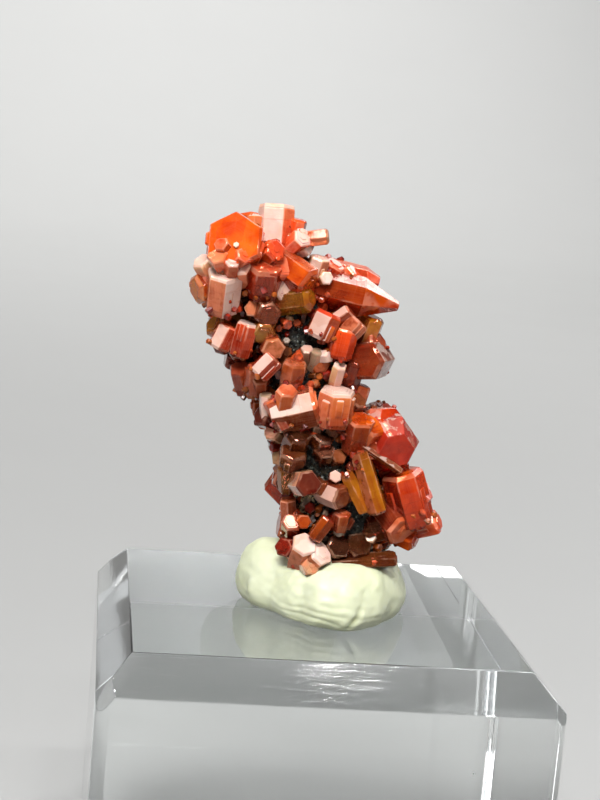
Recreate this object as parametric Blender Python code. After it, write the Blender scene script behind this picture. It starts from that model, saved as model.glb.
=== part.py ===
"""A vanadinite specimen standing in a lump of tack on a bevelled acrylic block.

Every driving size below is in millimetres and is turned into metres when a mesh is made.
The origin is the centre of the block's underside, +Z is up and the front faces -Y.
A bearing is an angle seen from above: 0 faces the front, 90 the right, 180 the back.
"""

import math
import random
from typing import NamedTuple

import bmesh
import bpy
from mathutils import Matrix, Vector

MM = 0.001
GAP = 0.3

# Acrylic block
BLOCK_SIDE = 30.0
BLOCK_HEIGHT = 20.0
BEVEL_INSET = 2.1
BEVEL_DROP = 2.3
UPRIGHT_ROUNDING = 0.9
CLIP_DEPTHS = {(-1, -1): 1.2, (1, -1): 0.9, (1, 1): 0.9, (-1, 1): 1.1}
CLIP_SLOPE = 0.7

# Lump of tack
TACK_CENTRE = (0.5, -0.3)
TACK_HEIGHT = 4.0
TACK_SIDES = 28

# Footprint of the lump: bearing, and reach from its centre
TACK_OUTLINE = (
    (-180, 5.0),
    (-140, 5.4),
    (-105, 5.9),
    (-80, 5.3),
    (-55, 4.5),
    (-25, 5.0),
    (-8, 5.9),
    (10, 6.6),
    (28, 6.1),
    (50, 5.6),
    (75, 5.6),
    (100, 6.0),
    (140, 5.5),
    (180, 5.0),
)

# Section of the lump from the contact to the crest: share of the reach, share of the height
TACK_PROFILE = (
    (0.96, 0.0),
    (1.02, 0.12),
    (1.04, 0.30),
    (1.00, 0.52),
    (0.92, 0.73),
    (0.77, 0.89),
    (0.46, 0.98),
    (0.16, 1.0),
)

# Thumbed bumps and dents of its skin: x, y, spread and lift
TACK_BUMPS = (
    (-4.8, 0.8, 2.0, 0.8),
    (5.4, 1.2, 2.6, 0.1),
    (-1.2, -3.8, 1.6, -0.5),
    (2.8, -4.4, 1.8, 0.1),
)

# Dark rock core: height, centre x, centre y, half width and half depth of each ring
CORE_RINGS = (
    (21.6, 1.0, 0.0, 1.9, 1.7),
    (22.6, 1.2, 0.0, 3.0, 2.6),
    (25.0, 1.4, 0.0, 3.3, 2.8),
    (28.0, 1.1, -0.2, 3.3, 3.0),
    (31.0, 0.0, -0.4, 3.2, 3.0),
    (34.0, -1.4, -0.4, 2.8, 2.9),
    (37.0, -2.5, -0.4, 3.0, 2.9),
    (40.0, -3.3, -0.3, 3.4, 3.0),
    (42.6, -4.3, -0.3, 3.3, 2.9),
    (44.6, -5.0, -0.3, 2.3, 2.1),
    (45.4, -5.1, -0.3, 1.1, 1.0),
)
CORE_SIDES = 13
CORE_ROUGHNESS = 0.16

# Crystals narrower than this end in a plain flat face
PLAIN_WIDTH = 1.65

# Colour, roughness and metallic value of each finish
FINISHES = {
    "clear_acrylic": ((0.86, 0.89, 0.90), 0.05, 0.0),
    "pale_tack": ((0.80, 0.86, 0.68), 0.60, 0.0),
    "dark_matrix": ((0.030, 0.032, 0.032), 0.75, 0.0),
    "orange_vanadinite": ((0.72, 0.13, 0.03), 0.18, 0.0),
    "red_vanadinite": ((0.55, 0.035, 0.02), 0.15, 0.0),
    "brown_vanadinite": ((0.36, 0.09, 0.045), 0.22, 0.0),
}


class Crystal(NamedTuple):
    """One hexagonal prism with a narrow pyramid at its free end, or at both.

    The tip is the centre of its free end face, in millimetres. The axis leaves the rock on
    the bearing `turn`, at `rise` degrees above level. At a roll of 0 an upright crystal
    shows a flat side to its bearing, and a level one has corners at its left and right.
    """

    tip: tuple
    across: float
    length: float
    turn: float = 0.0
    rise: float = 0.0
    roll: float = 0.0
    flat: float = 1.0
    end: float = 0.82
    shoulder: float = 0.0
    both: bool = False


# Crystals of the crown, the big ones first
CROWN = (
    Crystal((-8.15, -5.1, 45.6), 4.0, 3.0, -12, 18, 32, end=0.92),
    Crystal((-8.35, -4.4, 43.5), 2.7, 3.0, 0, 66, 24, end=0.92),
    Crystal((-5.8, -4.4, 44.4), 3.2, 2.5, 0, 62, 30, end=0.9),
    Crystal((-5.1, -2.0, 47.9), 2.5, 3.2, 180, 82, 14, end=0.94),
    Crystal((-6.5, -2.2, 47.2), 1.3, 2.2, 200, 84, 0),
    Crystal((-3.6, -2.6, 47.1), 1.2, 2.2, 60, 80, 10),
    Crystal((-1.6, -3.2, 46.2), 1.2, 2.8, 80, 12, 0, end=0.7, both=True),
    Crystal((-3.4, -4.0, 46.1), 1.5, 2.0, 30, 35, 10),
    Crystal((-2.9, -3.4, 45.4), 1.3, 2.2, 60, 15, 20),
    Crystal((-6.6, -5.0, 45.4), 1.8, 2.2, 15, 42, 0),
    Crystal((-5.2, -5.1, 45.2), 1.6, 2.0, 20, 25, 12),
    Crystal((-2.7, -4.7, 43.0), 2.3, 4.2, 55, -26, 8, end=0.75),
    Crystal((-4.6, -4.7, 44.2), 1.8, 2.4, 20, 30, 0),
    Crystal((-7.4, -5.0, 43.9), 1.4, 2.0, -14, 36, 12),
    Crystal((-9.9, -3.3, 44.0), 1.6, 2.2, -55, 50, 10),
    Crystal((-10.2, -3.1, 41.9), 2.1, 2.6, -65, -12, 20, end=0.7),
    Crystal((-9.4, -3.7, 42.9), 1.6, 2.0, -40, 10, 0),
    Crystal((-2.5, -4.4, 42.1), 2.2, 3.0, 60, 14, 30, flat=0.85, end=0.6),
    Crystal((-4.2, -4.4, 42.5), 1.7, 2.2, 15, 0, 10),
    Crystal((-4.6, -1.8, 46.6), 2.2, 2.4, 120, 62, 0),
    Crystal((-7.4, -2.6, 46.3), 2.3, 2.6, -60, 58, 10),
    Crystal((-9.6, -1.2, 43.4), 2.3, 3.4, -82, 22, 15),
    Crystal((-8.6, 0.2, 45.2), 2.4, 3.6, -110, 46, 0),
    Crystal((-6.4, 0.4, 46.9), 2.5, 3.0, 170, 70, 20),
    Crystal((-4.0, 0.6, 46.2), 2.4, 3.0, 130, 55, 5),
    Crystal((-7.4, 2.6, 45.2), 2.5, 3.0, -150, 38, 12),
    Crystal((-4.8, 3.0, 44.9), 2.6, 3.0, 160, 36, 25),
)

# Long crystals that stand out to the right below the crown
BLADE = (
    Crystal((3.6, -2.7, 41.8), 3.1, 5.9, 86, -9, 22, flat=0.9, end=0.22, shoulder=2.6),
    Crystal((2.4, -1.0, 43.2), 2.2, 4.4, 84, -10, 10, flat=0.8, end=0.5, shoulder=1.0),
    Crystal((-1.6, -4.2, 43.5), 1.0, 1.8, 5, 12, 0),
    Crystal((-1.9, -3.5, 42.7), 1.8, 2.4, 20, 0, 18),
    Crystal((-2.0, -2.9, 44.8), 1.4, 2.4, 40, 72, 0),
    Crystal((-0.8, -2.2, 44.4), 1.7, 2.4, 50, 56, 10),
    Crystal((0.6, -1.9, 43.9), 1.5, 2.2, 60, 50, 20),
    Crystal((-0.2, 0.8, 43.8), 2.4, 3.2, 95, 42, 0),
    Crystal((1.0, 1.5, 42.2), 2.3, 3.6, 110, 6, 12),
)

# Crystals at the right of the middle, below the blade
WAIST = (
    Crystal((-1.2, -3.9, 41.2), 2.1, 1.9, 90, 70, 0, end=0.84, both=True),
    Crystal((0.3, -3.7, 41.4), 1.3, 1.8, 70, 40, 0),
    Crystal((0.9, -3.6, 40.8), 1.7, 1.7, 90, 52, 0),
    Crystal((2.0, -2.3, 41.0), 1.8, 2.6, 60, 74, 10, end=0.75),
    Crystal((0.0, -3.7, 40.2), 1.9, 2.1, 80, 80, 26, both=True),
    Crystal((1.4, -3.9, 38.1), 2.8, 3.2, -26, 2, 8, end=0.8),
    Crystal((2.6, -2.6, 39.4), 2.0, 2.6, 50, 30, 0),
    Crystal((0.9, -3.3, 38.0), 1.5, 2.2, 20, 72, 20),
    Crystal((2.4, -0.6, 38.8), 2.2, 3.4, 88, 8, 0),
    Crystal((2.0, -0.4, 41.0), 2.1, 3.2, 86, 34, 20),
)

# Broad crystals across the middle
GIRDLE = (
    Crystal((-0.2, -4.3, 36.6), 2.6, 2.6, 8, 60, 4, end=0.9),
    Crystal((-1.4, -3.8, 35.1), 3.1, 3.2, 82, 18, 15, end=0.86),
    Crystal((-3.7, -5.0, 36.0), 1.6, 2.2, 0, 28, 0),
    Crystal((-3.2, -4.1, 37.8), 1.7, 1.8, 12, 70, 6),
    Crystal((-0.2, -4.2, 37.8), 1.1, 1.8, 10, 62, 5),
    Crystal((1.7, -2.7, 36.3), 1.2, 2.4, 60, 76, 0),
    Crystal((1.4, -3.4, 35.6), 1.7, 2.2, 40, 40, 0),
)

# Crystals down the left edge of the rock
SHOULDER = (
    Crystal((-7.7, -3.2, 39.8), 1.7, 1.8, 90, 68, 2, end=0.86, both=True),
    Crystal((-8.8, -2.6, 39.8), 1.9, 2.8, -62, 26, 10),
    Crystal((-6.5, -3.7, 40.1), 1.7, 2.3, 60, 78, 24),
    Crystal((-8.4, -2.2, 38.3), 1.7, 2.6, -58, -16, 0),
    Crystal((-7.0, -3.1, 38.2), 1.5, 2.4, -20, 20, 12),
    Crystal((-5.3, -4.6, 40.7), 1.9, 2.4, 10, -20, 16),
    Crystal((-6.4, -4.1, 41.1), 1.2, 2.0, -22, 12, 0),
    Crystal((-5.5, -4.3, 39.4), 1.7, 2.2, 0, -28, 0),
    Crystal((-4.8, -4.6, 38.5), 1.7, 2.2, 4, -8, 12),
    Crystal((-6.8, -2.8, 37.0), 1.5, 2.2, -30, 55, 0),
    Crystal((-5.9, -3.5, 37.3), 1.3, 2.2, -10, 66, 12),
    Crystal((-4.6, -4.3, 38.0), 1.8, 1.7, 90, 50, 0, both=True),
    Crystal((-6.6, -2.5, 35.9), 1.0, 1.8, -50, 10, 0),
    Crystal((-6.0, -2.9, 35.2), 1.0, 2.0, -35, -14, 8),
    Crystal((-5.4, -3.6, 36.6), 1.5, 2.2, -8, 40, 10),
    Crystal((-4.9, -3.6, 35.4), 1.0, 1.8, -20, 74, 0),
    Crystal((-4.7, -4.1, 35.1), 1.2, 2.2, -90, 56, 20),
    Crystal((-7.6, -0.6, 37.4), 2.1, 3.2, -88, 4, 0),
    Crystal((-8.9, -0.4, 40.6), 2.3, 3.4, -92, 12, 15),
)

# Long, glassy crystals that lean out to the lower right
FLANK = (
    Crystal((4.2, -4.3, 32.2), 4.3, 4.4, 14, -12, 12, end=0.62, shoulder=1.1),
    Crystal((3.8, -3.4, 34.2), 3.0, 3.4, 32, 34, 0, end=0.7, shoulder=0.8),
    Crystal((1.5, -4.5, 34.4), 2.1, 2.6, 6, 66, 0),
    Crystal((2.4, -4.3, 34.0), 2.1, 2.6, 26, 52, 14),
    Crystal((2.2, -4.4, 32.3), 1.9, 2.6, 4, 4, 10),
    Crystal((4.6, -4.1, 30.8), 1.4, 5.2, 88, -30, 0, flat=0.5),
    Crystal((3.3, -4.4, 27.9), 1.9, 4.4, 84, -68, 10, flat=0.75),
    Crystal((2.5, -4.2, 27.9), 1.2, 3.0, 84, -58, 0),
    Crystal((1.5, -3.8, 31.0), 1.1, 1.8, 10, 20, 0),
    Crystal((4.8, -3.2, 30.6), 3.0, 3.8, -90, 70, 28, end=0.86),
    Crystal((6.5, -3.2, 29.6), 2.8, 3.6, 56, 40, 10, end=0.7, shoulder=0.8),
    Crystal((7.85, -3.1, 27.3), 1.9, 3.6, 66, 22, 0, end=0.7),
    Crystal((5.4, -3.9, 26.6), 2.8, 3.6, 28, -24, 6),
    Crystal((6.4, -3.0, 25.7), 1.7, 3.2, 58, -14, 0),
    Crystal((3.6, -3.2, 26.2), 2.0, 2.4, 10, -20, 20),
    Crystal((5.8, -0.2, 30.6), 2.9, 4.0, 88, 18, 0),
    Crystal((5.2, 0.2, 33.0), 2.6, 4.2, 92, 28, 12),
    Crystal((6.6, 0.0, 27.6), 2.6, 3.8, 90, -4, 8),
)

# Crystals at the bottom, pressed into the tack
FOOT = (
    Crystal((-1.5, -4.3, 25.5), 2.0, 2.5, 5, 48, 20, end=0.88),
    Crystal((-0.2, -4.3, 24.9), 2.0, 2.4, 38, 34, 10, end=0.88),
    Crystal((-0.9, -4.7, 24.1), 1.5, 2.2, 8, 16, 0),
    Crystal((-2.9, -3.5, 24.9), 1.5, 2.2, -42, 10, 0),
    Crystal((-2.4, -3.3, 26.7), 1.5, 2.2, -10, 36, 10),
    Crystal((-1.6, -3.8, 26.8), 1.1, 1.8, 5, 10, 0),
    Crystal((5.1, -3.4, 24.5), 2.0, 4.5, 84, 8, 10, flat=0.6),
    Crystal((1.0, -3.8, 25.3), 1.8, 2.2, 10, 20, 0),
    Crystal((2.4, -3.4, 25.4), 1.9, 2.2, 10, 30, 10),
    Crystal((-3.0, -0.8, 25.8), 2.0, 3.0, -88, 6, 0),
)

# Small crystals that sit singly on the rock and belong to its solid
LOOSE = (
    Crystal((-2.5, -3.9, 33.0), 2.0, 2.0, 0, 50, 0),
    Crystal((-2.8, -3.8, 31.7), 2.1, 1.8, 0, 56, 28),
    Crystal((-0.8, -3.7, 32.9), 1.7, 1.4, 10, 55, 0),
    Crystal((-0.6, -3.8, 32.0), 1.6, 1.4, 0, 46, 10),
    Crystal((0.4, -3.8, 31.6), 1.2, 1.4, 12, 30, 0),
    Crystal((0.2, -4.2, 30.2), 0.9, 1.6, 0, 20, 30),
    Crystal((-2.5, -4.0, 38.7), 0.9, 1.6, -10, 50, 0),
    Crystal((-1.8, -4.0, 38.6), 0.9, 1.6, 10, 60, 12),
    Crystal((-0.9, -4.1, 38.3), 1.0, 1.8, 50, 8, 0),
    Crystal((-1.3, -3.6, 33.6), 1.0, 1.4, 0, 60, 0),
    Crystal((-0.2, -3.6, 33.6), 1.3, 1.5, 5, 55, 10),
    Crystal((-1.6, -4.8, 29.7), 1.9, 2.0, 14, 10, 10, end=0.86),
    Crystal((-0.5, -4.2, 29.2), 1.1, 1.8, 20, -10, 10),
    Crystal((0.8, -4.7, 28.8), 1.9, 2.2, 38, -4, 10, end=0.86),
    Crystal((0.9, -4.2, 27.8), 1.3, 1.4, 8, 72, 0),
    Crystal((0.0, -4.2, 27.3), 1.1, 1.8, 88, 58, 0, both=True),
    Crystal((1.4, -3.4, 26.9), 1.3, 1.6, 10, 10, 0),
    Crystal((-1.5, -3.9, 37.6), 1.4, 1.8, 0, -10, 10),
    Crystal((-5.2, -3.1, 33.8), 1.6, 2.8, -60, 18, 10),
    Crystal((-4.3, -2.9, 32.7), 1.3, 2.2, -40, 20, 0),
    Crystal((-5.6, -0.5, 34.0), 1.8, 2.6, -90, -8, 20),
    Crystal((-2.6, -1.5, 27.9), 1.3, 2.4, -40, 76, 0),
    Crystal((-3.2, -1.7, 29.0), 1.3, 2.2, -55, 8, 12),
    Crystal((-3.0, -2.4, 30.3), 1.3, 2.0, -20, 66, 10),
    Crystal((-3.7, -1.8, 30.8), 1.3, 2.2, -55, 14, 0),
    Crystal((-4.0, -0.4, 31.6), 1.6, 2.2, -88, 10, 0),
    Crystal((-3.6, -0.2, 29.2), 1.8, 2.4, -92, 10, 18),
)


class Patch(NamedTuple):
    """A stretch of the rock covered with crystals that stand square to it."""

    seed: int
    low: float
    high: float
    first_bearing: float
    last_bearing: float
    rows: int
    columns: int
    across: float
    proud: float


BACK_UPPER = Patch(5, 36.2, 43.2, 112, 248, 4, 4, 3.0, 1.5)
BACK_LOWER = Patch(11, 24.8, 34.4, 108, 252, 4, 4, 3.2, 1.6)


def deg_vector(turn, rise):
    """Unit vector on a bearing, at a rise above level."""
    t = math.radians(turn)
    r = math.radians(rise)
    return Vector((math.sin(t) * math.cos(r), -math.cos(t) * math.cos(r), math.sin(r)))


def crystal_frame(crystal):
    """Axis of a crystal, with its sideways and upward directions."""
    turn = math.radians(crystal.turn)
    axis = deg_vector(crystal.turn, crystal.rise)
    side = Vector((math.cos(turn), math.sin(turn), 0.0))
    return axis, side, axis.cross(side)


def crystal_rings(crystal, grow=0.0):
    """Rings of six corners, from the root to the tip, in millimetres."""
    axis, side, up = crystal_frame(crystal)
    radius = crystal.across / 2 + grow
    shoulder = crystal.shoulder or 0.12 * crystal.across
    tip = Vector(crystal.tip) + axis * grow
    length = crystal.length + 2 * grow
    root = [(length, 0.9)]
    if crystal.both:
        root = [(length, 0.82), (length - 0.12 * crystal.across, 1.0)]
    free = [(shoulder + grow, 1.0), (0.0, crystal.end + (1 - crystal.end) * grow / radius)]
    if crystal.across < PLAIN_WIDTH and not crystal.shoulder:
        free = [(0.0, 0.95)]
    rings = []
    for depth, scale in root + free:
        ring = []
        for corner in range(6):
            angle = math.radians(crystal.roll + 60 * corner)
            across = side * math.cos(angle) + up * (math.sin(angle) * crystal.flat)
            ring.append(tip - axis * depth + across * (radius * scale))
        rings.append(ring)
    return rings


def mesh_from_rings(name, rings):
    """Closed mesh through rings that run upwards and turn to the left."""
    bm = bmesh.new()
    loops = [[bm.verts.new(Vector(p) * MM) for p in ring] for ring in rings]
    for lower, upper in zip(loops, loops[1:]):
        for i, corner in enumerate(lower):
            j = (i + 1) % len(lower)
            bm.faces.new((corner, lower[j], upper[j], upper[i]))
    bm.faces.new(reversed(loops[0]))
    bm.faces.new(loops[-1])
    mesh = bpy.data.meshes.new(name)
    bm.to_mesh(mesh)
    bm.free()
    return mesh


def new_object(name, mesh):
    """Object in the scene that shows a mesh."""
    obj = bpy.data.objects.new(name, mesh)
    bpy.context.scene.collection.objects.link(obj)
    return obj


def crystal_object(crystal, grow=0.0):
    """Working object of one crystal, or of the space that it needs."""
    return new_object("crystal", mesh_from_rings("crystal", crystal_rings(crystal, grow)))


def combine(base, others, operation):
    """Union with other objects, or their difference, baked into the base. The others go."""
    if not others:
        return base
    holder = bpy.data.collections.new("operands")
    for other in others:
        holder.objects.link(other)
    step = base.modifiers.new("combine", "BOOLEAN")
    step.operation = operation
    step.operand_type = "COLLECTION"
    step.collection = holder
    step.solver = "EXACT"
    graph = bpy.context.evaluated_depsgraph_get()
    mesh = bpy.data.meshes.new_from_object(base.evaluated_get(graph))
    base.modifiers.clear()
    base.data = mesh
    for other in others:
        bpy.data.objects.remove(other)
    bpy.data.collections.remove(holder)
    return base


def islands(bm):
    """Connected groups of faces, the largest first."""
    left = set(bm.faces)
    found = []
    while left:
        stack = [left.pop()]
        island = []
        while stack:
            face = stack.pop()
            island.append(face)
            for edge in face.edges:
                for other in edge.link_faces:
                    if other in left:
                        left.remove(other)
                        stack.append(other)
        found.append(island)
    return sorted(found, key=lambda faces: -sum(f.calc_area() for f in faces))


def tidy(obj):
    """Join the points that a cut left together, and keep the largest body."""
    bm = bmesh.new()
    bm.from_mesh(obj.data)
    bmesh.ops.remove_doubles(bm, verts=bm.verts, dist=0.002 * MM)
    bmesh.ops.dissolve_degenerate(bm, edges=bm.edges, dist=0.002 * MM)
    for crumb in islands(bm)[1:]:
        bmesh.ops.delete(bm, geom=crumb, context="FACES")
    bmesh.ops.triangulate(bm, faces=bm.faces)
    bm.to_mesh(obj.data)
    bm.free()
    return obj


def finish(obj, name):
    """Material of a piece from the table of finishes."""
    colour, roughness, metallic = FINISHES[name]
    material = bpy.data.materials.get(name) or bpy.data.materials.new(name)
    material.use_nodes = True
    shader = material.node_tree.nodes["Principled BSDF"]
    shader.inputs["Base Color"].default_value = (*colour, 1.0)
    shader.inputs["Roughness"].default_value = roughness
    shader.inputs["Metallic"].default_value = metallic
    obj.data.materials.clear()
    obj.data.materials.append(material)
    return obj


def core_ring(height):
    """Centre and half sizes of the rock at a height, between the rings of the table."""
    height = min(max(height, CORE_RINGS[0][0]), CORE_RINGS[-1][0])
    for lower, upper in zip(CORE_RINGS, CORE_RINGS[1:]):
        if height <= upper[0]:
            t = (height - lower[0]) / (upper[0] - lower[0])
            return [a + (b - a) * t for a, b in zip(lower[1:], upper[1:])]
    return list(CORE_RINGS[-1][1:])


def core_object(grow=0.0):
    """The rock: lumpy rings on a bent spine."""
    dice = random.Random(3)
    rings = []
    for height, x, y, half_width, half_depth in CORE_RINGS:
        ring = []
        for i in range(CORE_SIDES):
            angle = 2 * math.pi * i / CORE_SIDES
            lump = 1.0 + dice.uniform(-CORE_ROUGHNESS, CORE_ROUGHNESS) * 0.6
            lift = dice.uniform(-0.25, 0.25)
            wide = half_width * lump + grow
            deep = half_depth * lump + grow
            ring.append((x + wide * math.cos(angle), y + deep * math.sin(angle), height + lift))
        rings.append(ring)
    if grow:
        rings[0] = [(x, y, z - grow) for x, y, z in rings[0]]
        rings[-1] = [(x, y, z + grow) for x, y, z in rings[-1]]
    return new_object("core", mesh_from_rings("core", rings))


def patch_crystals(patch):
    """Crystals in staggered rows over a stretch of the rock."""
    dice = random.Random(patch.seed)
    found = []
    for row in range(patch.rows):
        for column in range(patch.columns):
            t = (row + dice.uniform(0.25, 0.75)) / patch.rows
            s = (column + 0.5 * (row % 2) + dice.uniform(0.0, 0.5)) / patch.columns
            height = patch.low + (patch.high - patch.low) * t
            bearing = patch.first_bearing + (patch.last_bearing - patch.first_bearing) * s
            x, y, wide, deep = core_ring(height)
            b = math.radians(bearing)
            out = patch.proud * dice.uniform(0.75, 1.2)
            tip = (x + (wide + out) * math.sin(b), y - (deep + out) * math.cos(b), height)
            across = patch.across * dice.uniform(0.8, 1.15)
            turn = bearing + dice.uniform(-18, 18)
            rise = dice.uniform(-15, 35)
            found.append(Crystal(tip, across, out + 1.2, turn, rise, dice.uniform(0, 60)))
    return tuple(found)


CLUSTERS = {
    "crown_cluster": (CROWN, "orange_vanadinite"),
    "blade_cluster": (BLADE, "orange_vanadinite"),
    "flank_cluster": (FLANK, "red_vanadinite"),
    "waist_cluster": (WAIST, "brown_vanadinite"),
    "girdle_cluster": (GIRDLE, "orange_vanadinite"),
    "shoulder_cluster": (SHOULDER, "brown_vanadinite"),
    "foot_cluster": (FOOT, "brown_vanadinite"),
    "back_upper_cluster": (patch_crystals(BACK_UPPER), "brown_vanadinite"),
    "back_lower_cluster": (patch_crystals(BACK_LOWER), "brown_vanadinite"),
}


def near(crystal, others):
    """Those of the other crystals whose spheres reach this one's."""
    close = []
    for other in others:
        reach = (crystal.across + crystal.length + other.across + other.length) / 2 + 2 * GAP
        if (middle(crystal) - middle(other)).length < reach:
            close.append(other)
    return close


def middle(crystal):
    """Centre of a crystal's body."""
    return Vector(crystal.tip) - deg_vector(crystal.turn, crystal.rise) * (crystal.length / 2)


def build_cluster(name, crystals, finish_name, earlier):
    """Intergrown crystals as one solid that clears the rock and the earlier clusters."""
    body = crystal_object(crystals[0])
    body.name = name
    combine(body, [crystal_object(c) for c in crystals[1:]], "UNION")
    neighbours = [c for c in earlier if any(near(c, (own,)) for own in crystals)]
    cutters = [crystal_object(c, GAP) for c in neighbours]
    combine(body, [core_object(GAP)] + cutters, "DIFFERENCE")
    return finish(tidy(body), finish_name)


def build_matrix():
    """The rock core, with the small crystals that sit singly on it."""
    body = core_object()
    body.name = "matrix"
    combine(body, [crystal_object(c) for c in LOOSE], "UNION")
    return finish(tidy(body), "dark_matrix")


def tack_reach(bearing):
    """Reach of the lump's footprint on a bearing, eased between the rows of its table."""
    for (first, start), (last, stop) in zip(TACK_OUTLINE, TACK_OUTLINE[1:]):
        if bearing <= last:
            t = (bearing - first) / (last - first)
            return start + (stop - start) * t * t * (3 - 2 * t)
    return TACK_OUTLINE[-1][1]


def tack_lift(x, y):
    """Rise or dip of the lump's skin at a place."""
    lift = 0.0
    for bump_x, bump_y, spread, height in TACK_BUMPS:
        square = ((x - bump_x) ** 2 + (y - bump_y) ** 2) / spread**2
        lift += height * math.exp(-square)
    return lift


def tack_ring(share_of_reach, share_of_height):
    """One ring of the lump."""
    ring = []
    for k in range(TACK_SIDES):
        bearing = 360 * k / TACK_SIDES - 180
        reach = tack_reach(bearing) * share_of_reach
        x = TACK_CENTRE[0] + reach * math.sin(math.radians(bearing))
        y = TACK_CENTRE[1] - reach * math.cos(math.radians(bearing))
        z = BLOCK_HEIGHT + GAP + share_of_height * (TACK_HEIGHT + tack_lift(x, y))
        ring.append((x, y, z))
    return ring


def build_tack(crystals):
    """Squashed lump of tack with the socket that the specimen's foot has pressed in it."""
    body = new_object("mineral_tack", mesh_from_rings("mineral_tack", [tack_ring(*row) for row in TACK_PROFILE]))
    low = [c for c in crystals if c.tip[2] - c.length < BLOCK_HEIGHT + TACK_HEIGHT + 2]
    combine(body, [core_object(GAP)] + [crystal_object(c, GAP) for c in low], "DIFFERENCE")
    return finish(tidy(body), "pale_tack")


def cut_with_plane(bm, point, normal):
    """Slice off what lies beyond a plane and close the cut."""
    geometry = bm.verts[:] + bm.edges[:] + bm.faces[:]
    bmesh.ops.bisect_plane(bm, geom=geometry, plane_co=point, plane_no=normal, clear_outer=True)
    rim = [e for e in bm.edges if e.is_boundary]
    bmesh.ops.holes_fill(bm, edges=rim)


def build_block():
    """Block with rounded uprights, a wide polished bevel and clipped top corners."""
    half = BLOCK_SIDE / 2 * MM
    shoulder = (BLOCK_HEIGHT - BEVEL_DROP) * MM
    bm = bmesh.new()
    bmesh.ops.create_cube(bm, size=1.0, matrix=Matrix.Diagonal((2 * half, 2 * half, BLOCK_HEIGHT * MM, 1.0)))
    bmesh.ops.translate(bm, verts=bm.verts, vec=(0, 0, BLOCK_HEIGHT * MM / 2))
    uprights = [e for e in bm.edges if abs(e.verts[0].co.z - e.verts[1].co.z) > half / 2]
    bmesh.ops.bevel(bm, geom=uprights, offset=UPRIGHT_ROUNDING * MM, segments=5, profile=0.5, affect="EDGES")
    for x, y in ((1, 0), (-1, 0), (0, 1), (0, -1)):
        normal = Vector((x * BEVEL_DROP, y * BEVEL_DROP, BEVEL_INSET)).normalized()
        cut_with_plane(bm, (x * half, y * half, shoulder), normal)
    for (x, y), depth in CLIP_DEPTHS.items():
        normal = Vector((x, y, CLIP_SLOPE)).normalized()
        cut_with_plane(bm, (x * half, y * (half - depth * MM), shoulder), normal)
    mesh = bpy.data.meshes.new("acrylic_block")
    bm.to_mesh(mesh)
    bm.free()
    return finish(new_object("acrylic_block", mesh), "clear_acrylic")


def main():
    """Build the block, the clusters, the rock and the tack."""
    for obj in list(bpy.data.objects):
        bpy.data.objects.remove(obj)
    build_block()
    build_matrix()
    done = list(LOOSE)
    for name, (crystals, finish_name) in CLUSTERS.items():
        build_cluster(name, crystals, finish_name, done)
        done.extend(crystals)
    build_tack(done)


if __name__ == "__main__":
    main()
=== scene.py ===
"""Looks of a vanadinite specimen that stands in pale tack on a clear bevelled block.

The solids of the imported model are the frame: every piece here takes the place of one of
them, or grows on one. Sizes are in millimetres and become metres when a mesh is made.
The front faces -Y, and a bearing is an angle seen from above: 0 front, 90 right, 180 back.
"""

import logging
import math
import random
from collections.abc import Sequence
from dataclasses import dataclass, field, replace
from enum import Enum
from functools import partial
from typing import ClassVar

import bmesh
import bpy
import numpy as np
from mathutils import Matrix, Vector, noise


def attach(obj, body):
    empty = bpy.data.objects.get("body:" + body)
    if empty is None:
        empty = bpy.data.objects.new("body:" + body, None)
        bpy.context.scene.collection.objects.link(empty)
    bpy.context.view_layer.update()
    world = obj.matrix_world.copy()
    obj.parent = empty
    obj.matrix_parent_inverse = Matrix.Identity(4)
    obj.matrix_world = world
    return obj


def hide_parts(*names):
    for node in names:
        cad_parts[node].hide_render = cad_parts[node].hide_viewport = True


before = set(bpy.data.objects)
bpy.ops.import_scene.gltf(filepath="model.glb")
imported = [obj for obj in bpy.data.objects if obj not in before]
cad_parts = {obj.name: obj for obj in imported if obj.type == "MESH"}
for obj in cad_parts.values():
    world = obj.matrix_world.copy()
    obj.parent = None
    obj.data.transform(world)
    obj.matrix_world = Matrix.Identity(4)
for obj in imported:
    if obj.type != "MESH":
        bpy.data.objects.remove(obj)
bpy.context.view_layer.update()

LOG = logging.getLogger("specimen")
MM = 0.001
BODY = "root"

Colour = tuple[float, float, float]
Place = tuple[float, float, float]
Socket = bpy.types.NodeSocket


class Hue(Enum):
    """Linear colours seen on the crystals."""

    VIVID = (0.96, 0.105, 0.002)
    ORANGE = (0.86, 0.12, 0.005)
    EMBER = (0.78, 0.045, 0.003)
    CORAL = (0.82, 0.080, 0.015)
    SALMON = (0.74, 0.13, 0.025)
    PINK = (0.78, 0.16, 0.045)
    ROSE = (0.46, 0.060, 0.015)
    RED = (0.68, 0.018, 0.002)
    DEEP = (0.22, 0.012, 0.004)
    BROWN = (0.34, 0.075, 0.012)
    UMBER = (0.12, 0.030, 0.007)
    AMBER = (0.66, 0.20, 0.006)
    OCHRE = (0.54, 0.26, 0.010)
    TAN = (0.56, 0.24, 0.045)
    CREAM = (0.82, 0.46, 0.27)
    SILVER = (0.50, 0.34, 0.25)
    GREY = (0.26, 0.18, 0.13)


class Lustre(Enum):
    """Slots of the three crystal finishes."""

    GLASSY = 0
    RESINOUS = 1
    SATIN = 2


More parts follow.
